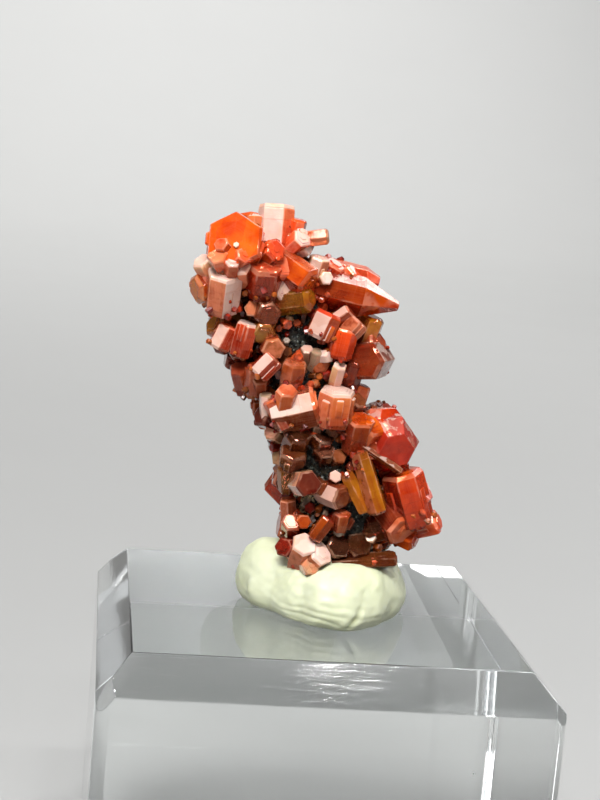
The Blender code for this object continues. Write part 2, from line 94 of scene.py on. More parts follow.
@dataclass(frozen=True)
class Crystal:
    """One hexagonal prism with a narrow pyramid at its free end, or blunt at both.

    The tip is the centre of the free end face. The axis leaves the rock on the bearing
    `turn`, at `rise` degrees above level, and `roll` turns the prism about it. `hue` colours
    the sides, and `cap` the end where it differs. `flat` squeezes the prism upwards, `end` is
    the share of the radius that the end face keeps, and `shoulder` the length of the slopes
    round it. The last two fields number the faces with a painted white highlight and those
    with a painted hazy sheen: 0 to 5 are the sides, the first 30 degrees past `roll`, and 6 is
    the end. Without the first of them, faces that meet the light get a painted highlight and a
    painted sheen by chance.
    """

    tip: Place
    across: float
    length: float
    turn: float
    rise: float
    roll: float
    hue: Hue
    cap: Hue | None = None
    lustre: Lustre = Lustre.RESINOUS
    flat: float = 1.0
    end: float = 0.82
    shoulder: float = 0.0
    both: bool = False
    white: tuple[int, ...] | None = None
    veiled: tuple[int, ...] = ()


glassy = partial(Crystal, lustre=Lustre.GLASSY)
satin = partial(Crystal, lustre=Lustre.SATIN)

CROWN = (
    Crystal(
        (-8.15, -5.1, 45.6), 4.0, 3.0, -12, 18, 32, Hue.CORAL, Hue.VIVID, end=0.92, white=(),
        veiled=(3, 4)
    ),
    satin(
        (-8.35, -4.4, 43.5), 2.7, 3.0, 0, 66, 36, Hue.ROSE, Hue.CREAM, end=0.92, white=(4, 6), veiled=(3,)
    ),
    glassy((-5.8, -4.4, 44.4), 3.2, 2.5, 0, 62, 2, Hue.EMBER, Hue.CORAL, end=0.9, white=(), veiled=(6,)),
    satin((-5.1, -2.0, 47.9), 2.5, 3.2, 180, 82, -16, Hue.CORAL, Hue.CREAM, end=0.94, white=(0, 1, 6)),
    Crystal((-6.5, -2.2, 47.2), 1.3, 2.2, 200, 84, 0, Hue.PINK, white=(6,), veiled=(0, 1)),
    Crystal((-3.6, -2.6, 47.1), 1.2, 2.2, 60, 80, 10, Hue.CORAL, white=(), veiled=(3,)),
    glassy(
        (-1.6, -3.2, 46.2), 1.2, 2.8, 80, 12, 0, Hue.ORANGE, Hue.CREAM, end=0.7, both=True, white=(),
        veiled=(2, 3, 6)
    ),
    satin((-3.4, -4.0, 46.1), 1.5, 2.0, 30, 35, 10, Hue.CORAL, white=(6,), veiled=(3,)),
    satin((-2.9, -3.4, 45.4), 1.3, 2.2, 60, 15, 20, Hue.CREAM, white=(3, 6)),
    glassy((-6.6, -5.0, 45.4), 1.8, 2.2, 15, 42, 0, Hue.VIVID, white=()),
    Crystal((-5.2, -5.1, 45.2), 1.6, 2.0, 20, 25, 12, Hue.VIVID, Hue.CORAL, white=()),
    glassy(
        (-2.7, -4.7, 43.0), 2.3, 4.2, 55, -26, 8, Hue.VIVID, Hue.ORANGE, end=0.75, white=(), veiled=(1,)
    ),
    Crystal((-4.6, -4.7, 44.2), 1.8, 2.4, 20, 30, 0, Hue.CORAL, white=(), veiled=(6,)),
    satin((-7.4, -5.0, 43.9), 1.4, 2.0, -14, 36, 12, Hue.PINK, white=(6,), veiled=(3, 4)),
    satin((-9.9, -3.3, 44.0), 1.6, 2.2, -55, 50, 10, Hue.CREAM, white=(6,), veiled=(4, 5)),
    glassy(
        (-10.2, -3.1, 41.9), 2.1, 2.6, -65, -12, 20, Hue.ORANGE, Hue.AMBER, end=0.7, white=(), veiled=(6,)
    ),
    Crystal((-9.4, -3.7, 42.9), 1.6, 2.0, -40, 10, 0, Hue.ROSE),
    glassy((-2.5, -4.4, 42.1), 2.2, 3.0, 60, 14, 30, Hue.OCHRE, Hue.AMBER, flat=0.85, end=0.6, white=()),
    satin((-4.2, -4.4, 42.5), 1.7, 2.2, 15, 0, 10, Hue.BROWN, Hue.CREAM, white=(6,)),
    Crystal((-4.6, -1.8, 46.6), 2.2, 2.4, 120, 62, 0, Hue.ORANGE),
    Crystal((-7.4, -2.6, 46.3), 2.3, 2.6, -60, 58, 10, Hue.SALMON),
    Crystal((-9.6, -1.2, 43.4), 2.3, 3.4, -82, 22, 15, Hue.ORANGE),
    Crystal((-8.6, 0.2, 45.2), 2.4, 3.6, -110, 46, 0, Hue.CORAL),
    Crystal((-6.4, 0.4, 46.9), 2.5, 3.0, 170, 70, 20, Hue.ORANGE),
    Crystal((-4.0, 0.6, 46.2), 2.4, 3.0, 130, 55, 5, Hue.SALMON),
    Crystal((-7.4, 2.6, 45.2), 2.5, 3.0, -150, 38, 12, Hue.ORANGE),
    Crystal((-4.8, 3.0, 44.9), 2.6, 3.0, 160, 36, 25, Hue.EMBER),
    Crystal((-9.05, -5.35, 44.6), 1.5, 1.4, -22, 34, 20, Hue.CORAL, Hue.PINK, white=(3,), veiled=(6, 4)),
    Crystal((-8.0, -5.5, 44.35), 1.3, 1.4, -2, 46, 6, Hue.CORAL, Hue.PINK, white=(6,), veiled=(3, 4)),
    Crystal((-8.9, -5.3, 45.3), 1.1, 1.2, -40, 30, 12, Hue.ORANGE, Hue.CORAL, white=(), veiled=(6, 0)),
    Crystal((-7.2, -5.6, 44.8), 1.3, 1.2, 22, 34, 24, Hue.VIVID, Hue.CORAL, white=(), veiled=(6, 3)),
    satin((-7.9, -5.45, 45.3), 0.42, 0.8, -12, 18, 32, Hue.CREAM, white=(6,)),
)
BLADE = (
    glassy(
        (3.6, -2.7, 41.8), 3.1, 5.9, 86, -9, 22, Hue.VIVID, flat=0.9, end=0.22, shoulder=2.6, white=(1,)
    ),
    Crystal(
        (2.4, -1.0, 43.2), 2.2, 4.4, 84, -10, 10, Hue.CORAL, Hue.EMBER, flat=0.8, end=0.5, shoulder=1.0,
        white=(), veiled=(1,)
    ),
    satin((-1.6, -4.2, 43.5), 1.0, 1.8, 5, 12, 0, Hue.CREAM, white=(6,), veiled=(3,)),
    Crystal((-1.9, -3.5, 42.7), 1.8, 2.4, 20, 0, 18, Hue.CORAL, white=(), veiled=(2,)),
    satin((-2.0, -2.9, 44.8), 1.4, 2.4, 40, 72, 0, Hue.CREAM, white=(3, 6)),
    Crystal((-0.8, -2.2, 44.4), 1.7, 2.4, 50, 56, 10, Hue.CORAL, white=(), veiled=(6,)),
    Crystal((0.6, -1.9, 43.9), 1.5, 2.2, 60, 50, 20, Hue.CORAL, white=(), veiled=(6, 2)),
    Crystal((-0.2, 0.8, 43.8), 2.4, 3.2, 95, 42, 0, Hue.ORANGE),
    Crystal((1.0, 1.5, 42.2), 2.3, 3.6, 110, 6, 12, Hue.EMBER),
)
WAIST = (
    Crystal(
        (-1.2, -3.9, 41.2), 2.1, 1.9, 90, 70, 0, Hue.ORANGE, Hue.EMBER, end=0.84, both=True, white=(2,)
    ),
    Crystal((0.3, -3.7, 41.4), 1.3, 1.8, 70, 40, 0, Hue.ROSE, white=(2,)),
    Crystal((0.9, -3.6, 40.8), 1.7, 1.7, 90, 52, 0, Hue.ROSE, white=(), veiled=(2, 3)),
    glassy((2.0, -2.3, 41.0), 1.8, 2.6, 60, 74, 10, Hue.AMBER, end=0.75, white=(), veiled=(3,)),
    Crystal(
        (0.0, -3.7, 40.2), 1.9, 2.1, 80, 80, 26, Hue.EMBER, Hue.CORAL, both=True, white=(), veiled=(6,)
    ),
    glassy((1.4, -3.9, 38.1), 2.8, 3.2, -26, 2, 8, Hue.ROSE, end=0.8, white=(0, 5)),
    Crystal((2.6, -2.6, 39.4), 2.0, 2.6, 50, 30, 0, Hue.ROSE),
    glassy((0.9, -3.3, 38.0), 1.5, 2.2, 20, 72, 20, Hue.DEEP),
    Crystal((2.4, -0.6, 38.8), 2.2, 3.4, 88, 8, 0, Hue.EMBER),
    Crystal((2.0, -0.4, 41.0), 2.1, 3.2, 86, 34, 20, Hue.ROSE),
)
GIRDLE = (
    Crystal(
        (-0.2, -4.3, 36.2), 2.6, 2.6, 8, 80, 2, Hue.ORANGE, Hue.CREAM, end=0.9, white=(6,), veiled=(3,)
    ),
    satin(
        (-1.4, -3.8, 35.1), 3.1, 3.2, 82, 18, 15, Hue.BROWN, Hue.SALMON, end=0.86, white=(2,), veiled=(6,)
    ),
    Crystal((-3.7, -5.0, 36.0), 1.6, 2.2, 0, 60, 0, Hue.ORANGE, Hue.PINK, white=(), veiled=(6,)),
    glassy((-3.2, -4.1, 37.8), 1.7, 1.8, 12, 70, 6, Hue.ORANGE, Hue.SALMON, white=(), veiled=(6, 3)),
    satin((-0.2, -4.2, 37.8), 1.1, 1.8, 10, 62, 5, Hue.CREAM, white=(4, 6)),
    Crystal((1.7, -2.7, 36.3), 1.2, 2.4, 60, 76, 0, Hue.PINK),
    glassy((1.4, -3.4, 35.6), 1.7, 2.2, 40, 40, 0, Hue.BROWN),
)
SHOULDER = (
    satin((-7.7, -3.2, 39.8), 1.7, 1.8, 90, 68, 2, Hue.EMBER, Hue.CORAL, end=0.86, both=True, white=(2,)),
    glassy((-8.8, -2.6, 39.8), 1.9, 2.8, -62, 26, 10, Hue.AMBER),
    Crystal((-6.5, -3.7, 40.1), 1.7, 2.3, 60, 78, 24, Hue.EMBER, Hue.CORAL, white=(6,)),
    glassy((-8.4, -2.2, 38.3), 1.7, 2.6, -58, -16, 0, Hue.DEEP),
    glassy((-7.0, -3.1, 38.2), 1.5, 2.4, -20, 20, 12, Hue.DEEP),
    glassy((-5.3, -4.6, 40.7), 1.9, 2.4, 10, -20, 16, Hue.BROWN, white=()),
    satin((-6.4, -4.1, 41.1), 1.2, 2.0, -22, 12, 0, Hue.BROWN, white=(2,), veiled=(6,)),
    glassy((-5.5, -4.3, 39.4), 1.7, 2.2, 0, -28, 0, Hue.BROWN, Hue.TAN, white=()),
    Crystal((-4.8, -4.6, 38.5), 1.7, 2.2, 4, -8, 12, Hue.ROSE, Hue.BROWN, white=(), veiled=(6,)),
    Crystal((-6.8, -2.8, 37.0), 1.5, 2.2, -30, 55, 0, Hue.ROSE),
    Crystal((-5.9, -3.5, 37.3), 1.3, 2.2, -10, 66, 12, Hue.ROSE, white=(), veiled=(4,)),
    Crystal((-4.6, -4.3, 38.0), 1.6, 1.7, 90, 50, 0, Hue.EMBER, Hue.ROSE, both=True, white=(2,)),
    Crystal((-6.6, -2.5, 35.9), 1.0, 1.8, -50, 10, 0, Hue.ROSE),
    Crystal((-6.0, -2.9, 35.2), 1.0, 2.0, -35, -14, 8, Hue.BROWN),
    Crystal((-5.4, -3.6, 36.6), 1.5, 2.2, -8, 40, 10, Hue.ROSE, Hue.BROWN),
    satin((-4.9, -3.6, 35.4), 1.0, 1.8, -20, 74, 0, Hue.SILVER, white=(3, 4)),
    satin((-4.7, -4.1, 35.1), 1.2, 2.2, -90, 56, 20, Hue.ROSE, white=(), veiled=(6,)),
    glassy((-7.6, -0.6, 37.4), 2.1, 3.2, -88, 4, 0, Hue.DEEP),
    Crystal((-8.9, -0.4, 40.6), 2.3, 3.4, -92, 12, 15, Hue.TAN),
)
FLANK = (
    glassy((4.2, -4.3, 32.2), 4.3, 4.4, 14, -12, 12, Hue.RED, end=0.62, shoulder=1.1, white=(0, 1)),
    glassy(
        (3.8, -3.4, 34.2), 3.0, 3.4, 32, 34, 0, Hue.VIVID, Hue.EMBER, end=0.7, shoulder=0.8, white=(2,),
        veiled=(3,)
    ),
    glassy((1.5, -4.5, 34.4), 2.1, 2.6, 6, 66, 0, Hue.ORANGE, white=()),
    glassy((2.4, -4.3, 34.0), 2.1, 2.6, 26, 52, 14, Hue.VIVID, Hue.ORANGE, white=(), veiled=(3,)),
    Crystal((2.2, -4.4, 32.3), 1.9, 2.6, 4, 4, 10, Hue.ROSE),
    glassy((4.6, -4.1, 30.8), 1.4, 5.2, 88, -30, 0, Hue.BROWN, flat=0.5, white=(2,)),
    glassy(
        (3.3, -4.4, 27.9), 1.9, 4.4, 84, -68, 10, Hue.AMBER, Hue.BROWN, flat=0.75, white=(), veiled=(3,)
    ),
    glassy((2.5, -4.2, 27.9), 1.2, 3.0, 84, -58, 0, Hue.AMBER, white=()),
    glassy((1.5, -3.8, 31.0), 1.1, 1.8, 10, 20, 0, Hue.DEEP),
    glassy((4.8, -3.2, 30.6), 3.0, 3.8, -90, 70, 28, Hue.EMBER, Hue.VIVID, end=0.86, white=()),
    glassy((6.5, -3.2, 29.6), 2.8, 3.6, 56, 40, 10, Hue.VIVID, Hue.EMBER, end=0.7, shoulder=0.8, white=()),
    Crystal((7.85, -3.1, 27.3), 1.9, 3.6, 66, 22, 0, Hue.CORAL, end=0.7, white=(2,)),
    Crystal((5.4, -3.9, 26.6), 2.8, 3.6, 28, -24, 6, Hue.DEEP, Hue.SALMON, white=(), veiled=(6,)),
    glassy((6.4, -3.0, 25.7), 1.7, 3.2, 58, -14, 0, Hue.VIVID, white=()),
    glassy((3.6, -3.2, 26.2), 2.0, 2.4, 10, -20, 20, Hue.DEEP, Hue.UMBER, white=()),
    glassy((5.8, -0.2, 30.6), 2.9, 4.0, 88, 18, 0, Hue.RED),
    Crystal((5.2, 0.2, 33.0), 2.6, 4.2, 92, 28, 12, Hue.ORANGE),
    Crystal((6.6, 0.0, 27.6), 2.6, 3.8, 90, -4, 8, Hue.ROSE),
)
FOOT = (
    satin(
        (-1.5, -4.3, 25.5), 2.0, 2.5, 5, 48, 20, Hue.ROSE, Hue.CREAM, end=0.88, white=(6,), veiled=(3, 4)
    ),
    satin((-0.2, -4.3, 24.9), 2.0, 2.4, 38, 34, 10, Hue.ROSE, Hue.CREAM, end=0.88, white=(6,), veiled=(3,)),
    satin((-0.9, -4.7, 24.1), 1.5, 2.2, 8, 16, 0, Hue.PINK, Hue.CREAM, white=(3,), veiled=(6, 4)),
    glassy((-2.9, -3.5, 24.9), 1.5, 2.2, -42, 10, 0, Hue.RED, white=()),
    Crystal((-2.4, -3.3, 26.7), 1.5, 2.2, -10, 36, 10, Hue.ROSE),
    Crystal((-1.6, -3.8, 26.8), 1.1, 1.8, 5, 10, 0, Hue.ORANGE),
    glassy((5.1, -3.4, 24.5), 2.0, 4.5, 84, 8, 26, Hue.BROWN, flat=0.6, white=()),
    glassy((1.0, -3.8, 25.3), 1.8, 2.2, 10, 20, 0, Hue.UMBER, white=()),
    glassy((2.4, -3.4, 25.4), 1.9, 2.2, 10, 30, 10, Hue.DEEP, Hue.UMBER, white=()),
    Crystal((-3.0, -0.8, 25.8), 2.0, 3.0, -88, 6, 0, Hue.ROSE),
)
LOOSE = (
    glassy((-2.5, -3.9, 33.0), 2.0, 2.0, 0, 50, 0, Hue.BROWN, Hue.UMBER, white=()),
    glassy((-2.8, -3.8, 31.7), 2.1, 1.2, 0, 56, 28, Hue.AMBER, Hue.BROWN, white=()),
    glassy((-0.8, -3.7, 32.9), 1.7, 1.4, 10, 55, 0, Hue.BROWN, Hue.UMBER),
    glassy((-0.6, -3.8, 32.0), 1.6, 1.4, 0, 46, 10, Hue.UMBER, Hue.BROWN),
    Crystal((0.4, -3.8, 31.6), 1.2, 1.4, 12, 30, 0, Hue.BROWN),
    satin((0.2, -4.2, 30.2), 0.9, 1.6, 0, 20, 30, Hue.CREAM, white=(6,)),
    satin((-2.5, -4.0, 38.7), 0.9, 1.6, -10, 50, 0, Hue.SILVER),
    satin((-1.8, -4.0, 38.6), 0.9, 1.6, 10, 60, 12, Hue.SILVER),
    satin((-0.9, -4.1, 38.3), 1.0, 1.8, 50, 8, 0, Hue.SILVER, Hue.BROWN, white=(2, 3, 6)),
    satin((-1.3, -3.6, 33.6), 1.0, 1.4, 0, 60, 0, Hue.GREY),
    satin((-0.2, -3.6, 33.6), 1.3, 1.5, 5, 55, 10, Hue.GREY, Hue.BROWN),
    Crystal(
        (-1.6, -4.8, 29.7), 1.9, 2.0, 14, 10, 10, Hue.CREAM, Hue.DEEP, end=0.86, white=(3,), veiled=(2,)
    ),
    glassy((-0.5, -4.2, 29.2), 1.1, 1.8, 20, -10, 10, Hue.AMBER),
    Crystal((0.8, -4.7, 28.8), 1.9, 2.2, 38, -4, 10, Hue.ROSE, Hue.BROWN, end=0.86, white=(2, 3)),
    Crystal((0.9, -4.2, 27.8), 1.3, 1.4, 8, 72, 0, Hue.SALMON),
    glassy((0.0, -4.2, 27.3), 1.1, 1.8, 88, 58, 0, Hue.ORANGE, Hue.EMBER, both=True, white=()),
    Crystal((1.4, -3.4, 26.9), 1.3, 1.6, 10, 10, 0, Hue.ROSE),
    Crystal((-1.5, -3.9, 37.6), 1.4, 1.8, 0, -10, 10, Hue.SALMON),
    glassy((-5.2, -3.1, 33.8), 1.6, 2.8, -60, 18, 10, Hue.DEEP, white=()),
    satin((-4.3, -2.9, 32.7), 1.3, 2.2, -40, 20, 0, Hue.CREAM),
    Crystal((-5.6, -0.5, 34.0), 1.8, 2.6, -90, -8, 20, Hue.ORANGE),
    satin((-2.6, -1.5, 27.9), 1.3, 2.4, -40, 76, 0, Hue.PINK),
    glassy((-3.2, -1.7, 29.0), 1.3, 2.2, -55, 8, 12, Hue.BROWN),
    glassy((-3.0, -2.4, 30.3), 1.3, 2.0, -20, 66, 10, Hue.AMBER),
    satin((-3.7, -1.8, 30.8), 1.3, 2.2, -55, 14, 0, Hue.CREAM),
    Crystal((-4.0, -0.4, 31.6), 1.6, 2.2, -88, 10, 0, Hue.ROSE),
    Crystal((-3.6, -0.2, 29.2), 1.8, 2.4, -92, 10, 18, Hue.ROSE),
)

@dataclass(frozen=True)
class Patch:
    """A stretch of the rock covered with crystals that stand square to it."""

    seed: int
    low: float
    high: float
    first_bearing: float
    last_bearing: float
    rows: int
    columns: int
    across: float
    proud: float
    root: float = 1.2


BACK_UPPER = Patch(5, 36.2, 43.2, 112, 248, 4, 4, 3.0, 1.5)
BACK_LOWER = Patch(11, 24.8, 34.4, 108, 252, 4, 4, 3.2, 1.6)
BACK_HUES = (Hue.ROSE, Hue.BROWN, Hue.EMBER, Hue.SALMON, Hue.ORANGE, Hue.RED, Hue.AMBER)

# Rock core: height, centre x, centre y, half width and half depth of each ring
CORE_RINGS = (
    (21.6, 1.0, 0.0, 1.9, 1.7),
    (22.6, 1.2, 0.0, 3.0, 2.6),
    (25.0, 1.4, 0.0, 3.3, 2.8),
    (28.0, 1.1, -0.2, 3.3, 3.0),
    (31.0, 0.0, -0.4, 3.2, 3.0),
    (34.0, -1.4, -0.4, 2.8, 2.9),
    (37.0, -2.5, -0.4, 3.0, 2.9),
    (40.0, -3.3, -0.3, 3.4, 3.0),
    (42.6, -4.3, -0.3, 3.3, 2.9),
    (44.6, -5.0, -0.3, 2.3, 2.1),
    (45.4, -5.1, -0.3, 1.1, 1.0),
)


def clamp(value: float) -> float:
    """Hold a number between 0 and 1."""
    return min(1.0, max(0.0, value))


def bell(value: float, middle: float, width: float) -> float:
    """Bell curve, 1 at its middle."""
    return math.exp(-(((value - middle) / width) ** 2))


def deg_vector(turn: float, rise: float) -> Vector:
    """Unit vector on a bearing, at a rise above level."""
    t, r = math.radians(turn), math.radians(rise)
    return Vector((math.sin(t) * math.cos(r), -math.cos(t) * math.cos(r), math.sin(r)))


def prism_axes(crystal: Crystal) -> tuple[Vector, Vector, Vector]:
    """Directions of a crystal.

    Args:
        crystal: The crystal.

    Returns:
        Its axis, the level direction across it and the one square to both.
    """
    turn = math.radians(crystal.turn)
    axis = deg_vector(crystal.turn, crystal.rise)
    side = Vector((math.cos(turn), math.sin(turn), 0.0))
    return axis, side, axis.cross(side)


def new_object(name: str, mesh: bpy.types.Mesh) -> bpy.types.Object:
    """Put an object in the scene.

    Args:
        name: Name of the object.
        mesh: Mesh that it shows.

    Returns:
        The object.
    """
    obj = bpy.data.objects.new(name, mesh)
    bpy.context.scene.collection.objects.link(obj)
    return obj


def mesh_from(bm: bmesh.types.BMesh, name: str) -> bpy.types.Mesh:
    """Turn an edited mesh into a stored one.

    Args:
        bm: The edited mesh, freed here.
        name: Name of the stored mesh.

    Returns:
        The stored mesh.
    """
    mesh = bpy.data.meshes.new(name)
    bm.to_mesh(mesh)
    bm.free()
    return mesh


def add_values(mesh: bpy.types.Mesh, name: str, values: list[float]) -> None:
    """Store one number for each corner of a mesh."""
    layer = mesh.attributes.new(name, "FLOAT", "POINT")
    layer.data.foreach_set("value", np.array(values, dtype=np.float32))


def smooth_between(mesh: bpy.types.Mesh, degrees: float) -> None:
    """Shade faces smooth that meet at less than an angle.

    Args:
        mesh: The mesh.
        degrees: The angle.
    """
    mesh.polygons.foreach_set("use_smooth", [True] * len(mesh.polygons))
    mesh.set_sharp_from_angle(angle=math.radians(degrees))
    mesh.update()


def loft_faces(starts: Sequence[int], count: int) -> list[tuple[int, ...]]:
    """Faces between rings of corners, with both ends closed.

    Args:
        starts: Number of each ring's first corner.
        count: Corners in a ring.

    Returns:
        Corner numbers of each face.
    """
    found = []
    for low, high in zip(starts, starts[1:]):
        for i in range(count):
            j = (i + 1) % count
            found.append((low + i, low + j, high + j, high + i))
    found.append(tuple(starts[0] + i for i in reversed(range(count))))
    found.append(tuple(starts[-1] + i for i in range(count)))
    return found


def lofted(name: str, points: list[Vector], count: int) -> bpy.types.Mesh:
    """Closed mesh over rings of corners.

    Args:
        name: Name of the mesh.
        points: Corners in millimetres, ring by ring.
        count: Corners in a ring.

    Returns:
        The mesh, in metres.
    """
    mesh = bpy.data.meshes.new(name)
    mesh.from_pydata([p * MM for p in points], [], loft_faces(range(0, len(points), count), count))
    return mesh


def seat(obj: bpy.types.Object, node: str | None = None) -> None:
    """Let a piece ride the body.

    Args:
        obj: The piece.
        node: Node that it stands in for, if any.
    """
    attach(obj, BODY)
    if node:
        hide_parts(node)


def core_ring(height: float) -> list[float]:
    """Centre and half sizes of the rock at a height, between the rings of the table.

    Args:
        height: Height above the block's underside.

    Returns:
        Centre x and y, half width and half depth.
    """
    for lower, upper in zip(CORE_RINGS, CORE_RINGS[1:]):
        if height <= upper[0]:
            t = (height - lower[0]) / (upper[0] - lower[0])
            return [a + (b - a) * t for a, b in zip(lower[1:], upper[1:])]
    return list(CORE_RINGS[-1][1:])


def patch_crystals(patch: Patch) -> tuple[Crystal, ...]:
    """Crystals in staggered rows over a stretch of the rock.

    Args:
        patch: The stretch, with its seed and the crystals' sizes.

    Returns:
        The crystals, row by row.
    """
    dice = random.Random(patch.seed)
    tints = random.Random(patch.seed + 1)
    found = []
    for row in range(patch.rows):
        for column in range(patch.columns):
            t = (row + dice.uniform(0.25, 0.75)) / patch.rows
            s = (column + 0.5 * (row % 2) + dice.uniform(0.0, 0.5)) / patch.columns
            height = patch.low + (patch.high - patch.low) * t
            bearing = patch.first_bearing + (patch.last_bearing - patch.first_bearing) * s
            x, y, wide, deep = core_ring(height)
            b = math.radians(bearing)
            out = patch.proud * dice.uniform(0.75, 1.2)
            tip = (x + (wide + out) * math.sin(b), y - (deep + out) * math.cos(b), height)
            across = patch.across * dice.uniform(0.8, 1.15)
            turn = bearing + dice.uniform(-18, 18)
            rise = dice.uniform(-15, 35)
            roll = dice.uniform(0, 60)
            hue, cap = tints.choice(BACK_HUES), tints.choice(BACK_HUES)
            lustre = tints.choice((Lustre.GLASSY, Lustre.RESINOUS, Lustre.RESINOUS))
            found.append(Crystal(tip, across, out + patch.root, turn, rise, roll, hue, cap, lustre))
    return tuple(found)


class Board:
    """A node tree being laid out, with short ways to add nodes and to wire them."""

    def __init__(self, tree: bpy.types.NodeTree) -> None:
        """Keep the tree that the nodes go into."""
        self.tree = tree

    def feed(self, socket: Socket, value: object) -> None:
        """Wire a socket to another one, or set its own value.

        Args:
            socket: The input.
            value: A socket or a plain value.
        """
        if isinstance(value, bpy.types.NodeSocket):
            self.tree.links.new(value, socket)
        else:
            socket.default_value = value

    def wire(self, node: bpy.types.Node, **values: object) -> None:
        """Feed a node's inputs by name, spaces written as underscores."""
        for name, value in values.items():
            self.feed(node.inputs[name.replace("_", " ")], value)

    def add(self, kind: str, **values: object) -> bpy.types.Node:
        """Add a node, set its properties and feed its inputs.

        Args:
            kind: The node's type name.
            **values: Properties in small letters, then inputs with a capital letter.

        Returns:
            The new node.
        """
        node = self.tree.nodes.new(kind)
        for name, value in values.items():
            if name[0].islower():
                setattr(node, name, value)
            else:
                self.wire(node, **{name: value})
        return node

    def math(self, operation: str, *values: object, clamp: bool = False) -> Socket:
        """Sum, product or other operation on sockets and numbers.

        Args:
            operation: Name of the operation.
            *values: Sockets or numbers, in order.
            clamp: Whether the result stays between 0 and 1.

        Returns:
            The result's socket.
        """
        node = self.add("ShaderNodeMath", operation=operation, use_clamp=clamp)
        for socket, value in zip(node.inputs, values):
            self.feed(socket, value)
        return node.outputs[0]

    def vector(self, operation: str, *values: object) -> Socket:
        """Operation on vectors.

        Args:
            operation: Name of the operation.
            *values: Sockets or vectors, in order.

        Returns:
            The result's socket, a number for a dot product.
        """
        node = self.add("ShaderNodeVectorMath", operation=operation)
        for socket, value in zip(node.inputs, values):
            self.feed(socket, value)
        return node.outputs["Value" if operation == "DOT_PRODUCT" else "Vector"]

    def spread(
        self, value: object, low: float, high: float, to_low: float = 0.0, to_high: float = 1.0
    ) -> Socket:
        """Ease a value from one range to another, and hold it there.

        Args:
            value: Socket to read.
            low: Start of the range read.
            high: End of the range read.
            to_low: Result at the start.
            to_high: Result at the end.

        Returns:
            The result's socket.
        """
        node = self.add("ShaderNodeMapRange", interpolation_type="SMOOTHSTEP")
        for socket, item in zip(node.inputs, (value, low, high, to_low, to_high)):
            self.feed(socket, item)
        return node.outputs[0]

    def noise(self, place: object, scale: object, detail: float = 2.0, rough: float = 0.5) -> Socket:
        """Cloudy noise at a scale given in features per metre.

        Args:
            place: Socket of the place to read.
            scale: Features per metre.
            detail: Octaves.
            rough: Weight of the finer octaves.

        Returns:
            The noise value's socket.
        """
        node = self.add("ShaderNodeTexNoise", Vector=place, Scale=scale, Detail=detail, Roughness=rough)
        return node.outputs["Fac"]

    def blend(self, amount: object, first: object, second: object, kind: str = "MIX") -> Socket:
        """Mix two colours.

        Args:
            amount: Share of the second.
            first: Socket or colour.
            second: Socket or colour.
            kind: How they mix.

        Returns:
            The mixed colour's socket.
        """
        node = self.add("ShaderNodeMix", data_type="RGBA", blend_type=kind)
        for index, value in ((0, amount), (6, first), (7, second)):
            if isinstance(value, tuple):
                value = (*value, 1.0)
            self.feed(node.inputs[index], value)
        return node.outputs[2]

    def bump(self, height: object, strength: float, depth: float) -> Socket:
        """Normal from a height, with its depth in millimetres."""
        node = self.add("ShaderNodeBump", Height=height, Strength=strength, Distance=depth * MM)
        return node.outputs["Normal"]

    def attribute(self, name: str, part: str = "Fac") -> Socket:
        """One of the mesh's own values."""
        return self.add("ShaderNodeAttribute", attribute_name=name).outputs[part]

    def group(self, tree: bpy.types.NodeTree, **values: object) -> bpy.types.bpy_prop_collection:
        """Place a shared group, feed its inputs by name and hand out its outputs."""
        return self.add("ShaderNodeGroup", node_tree=tree, **values).outputs


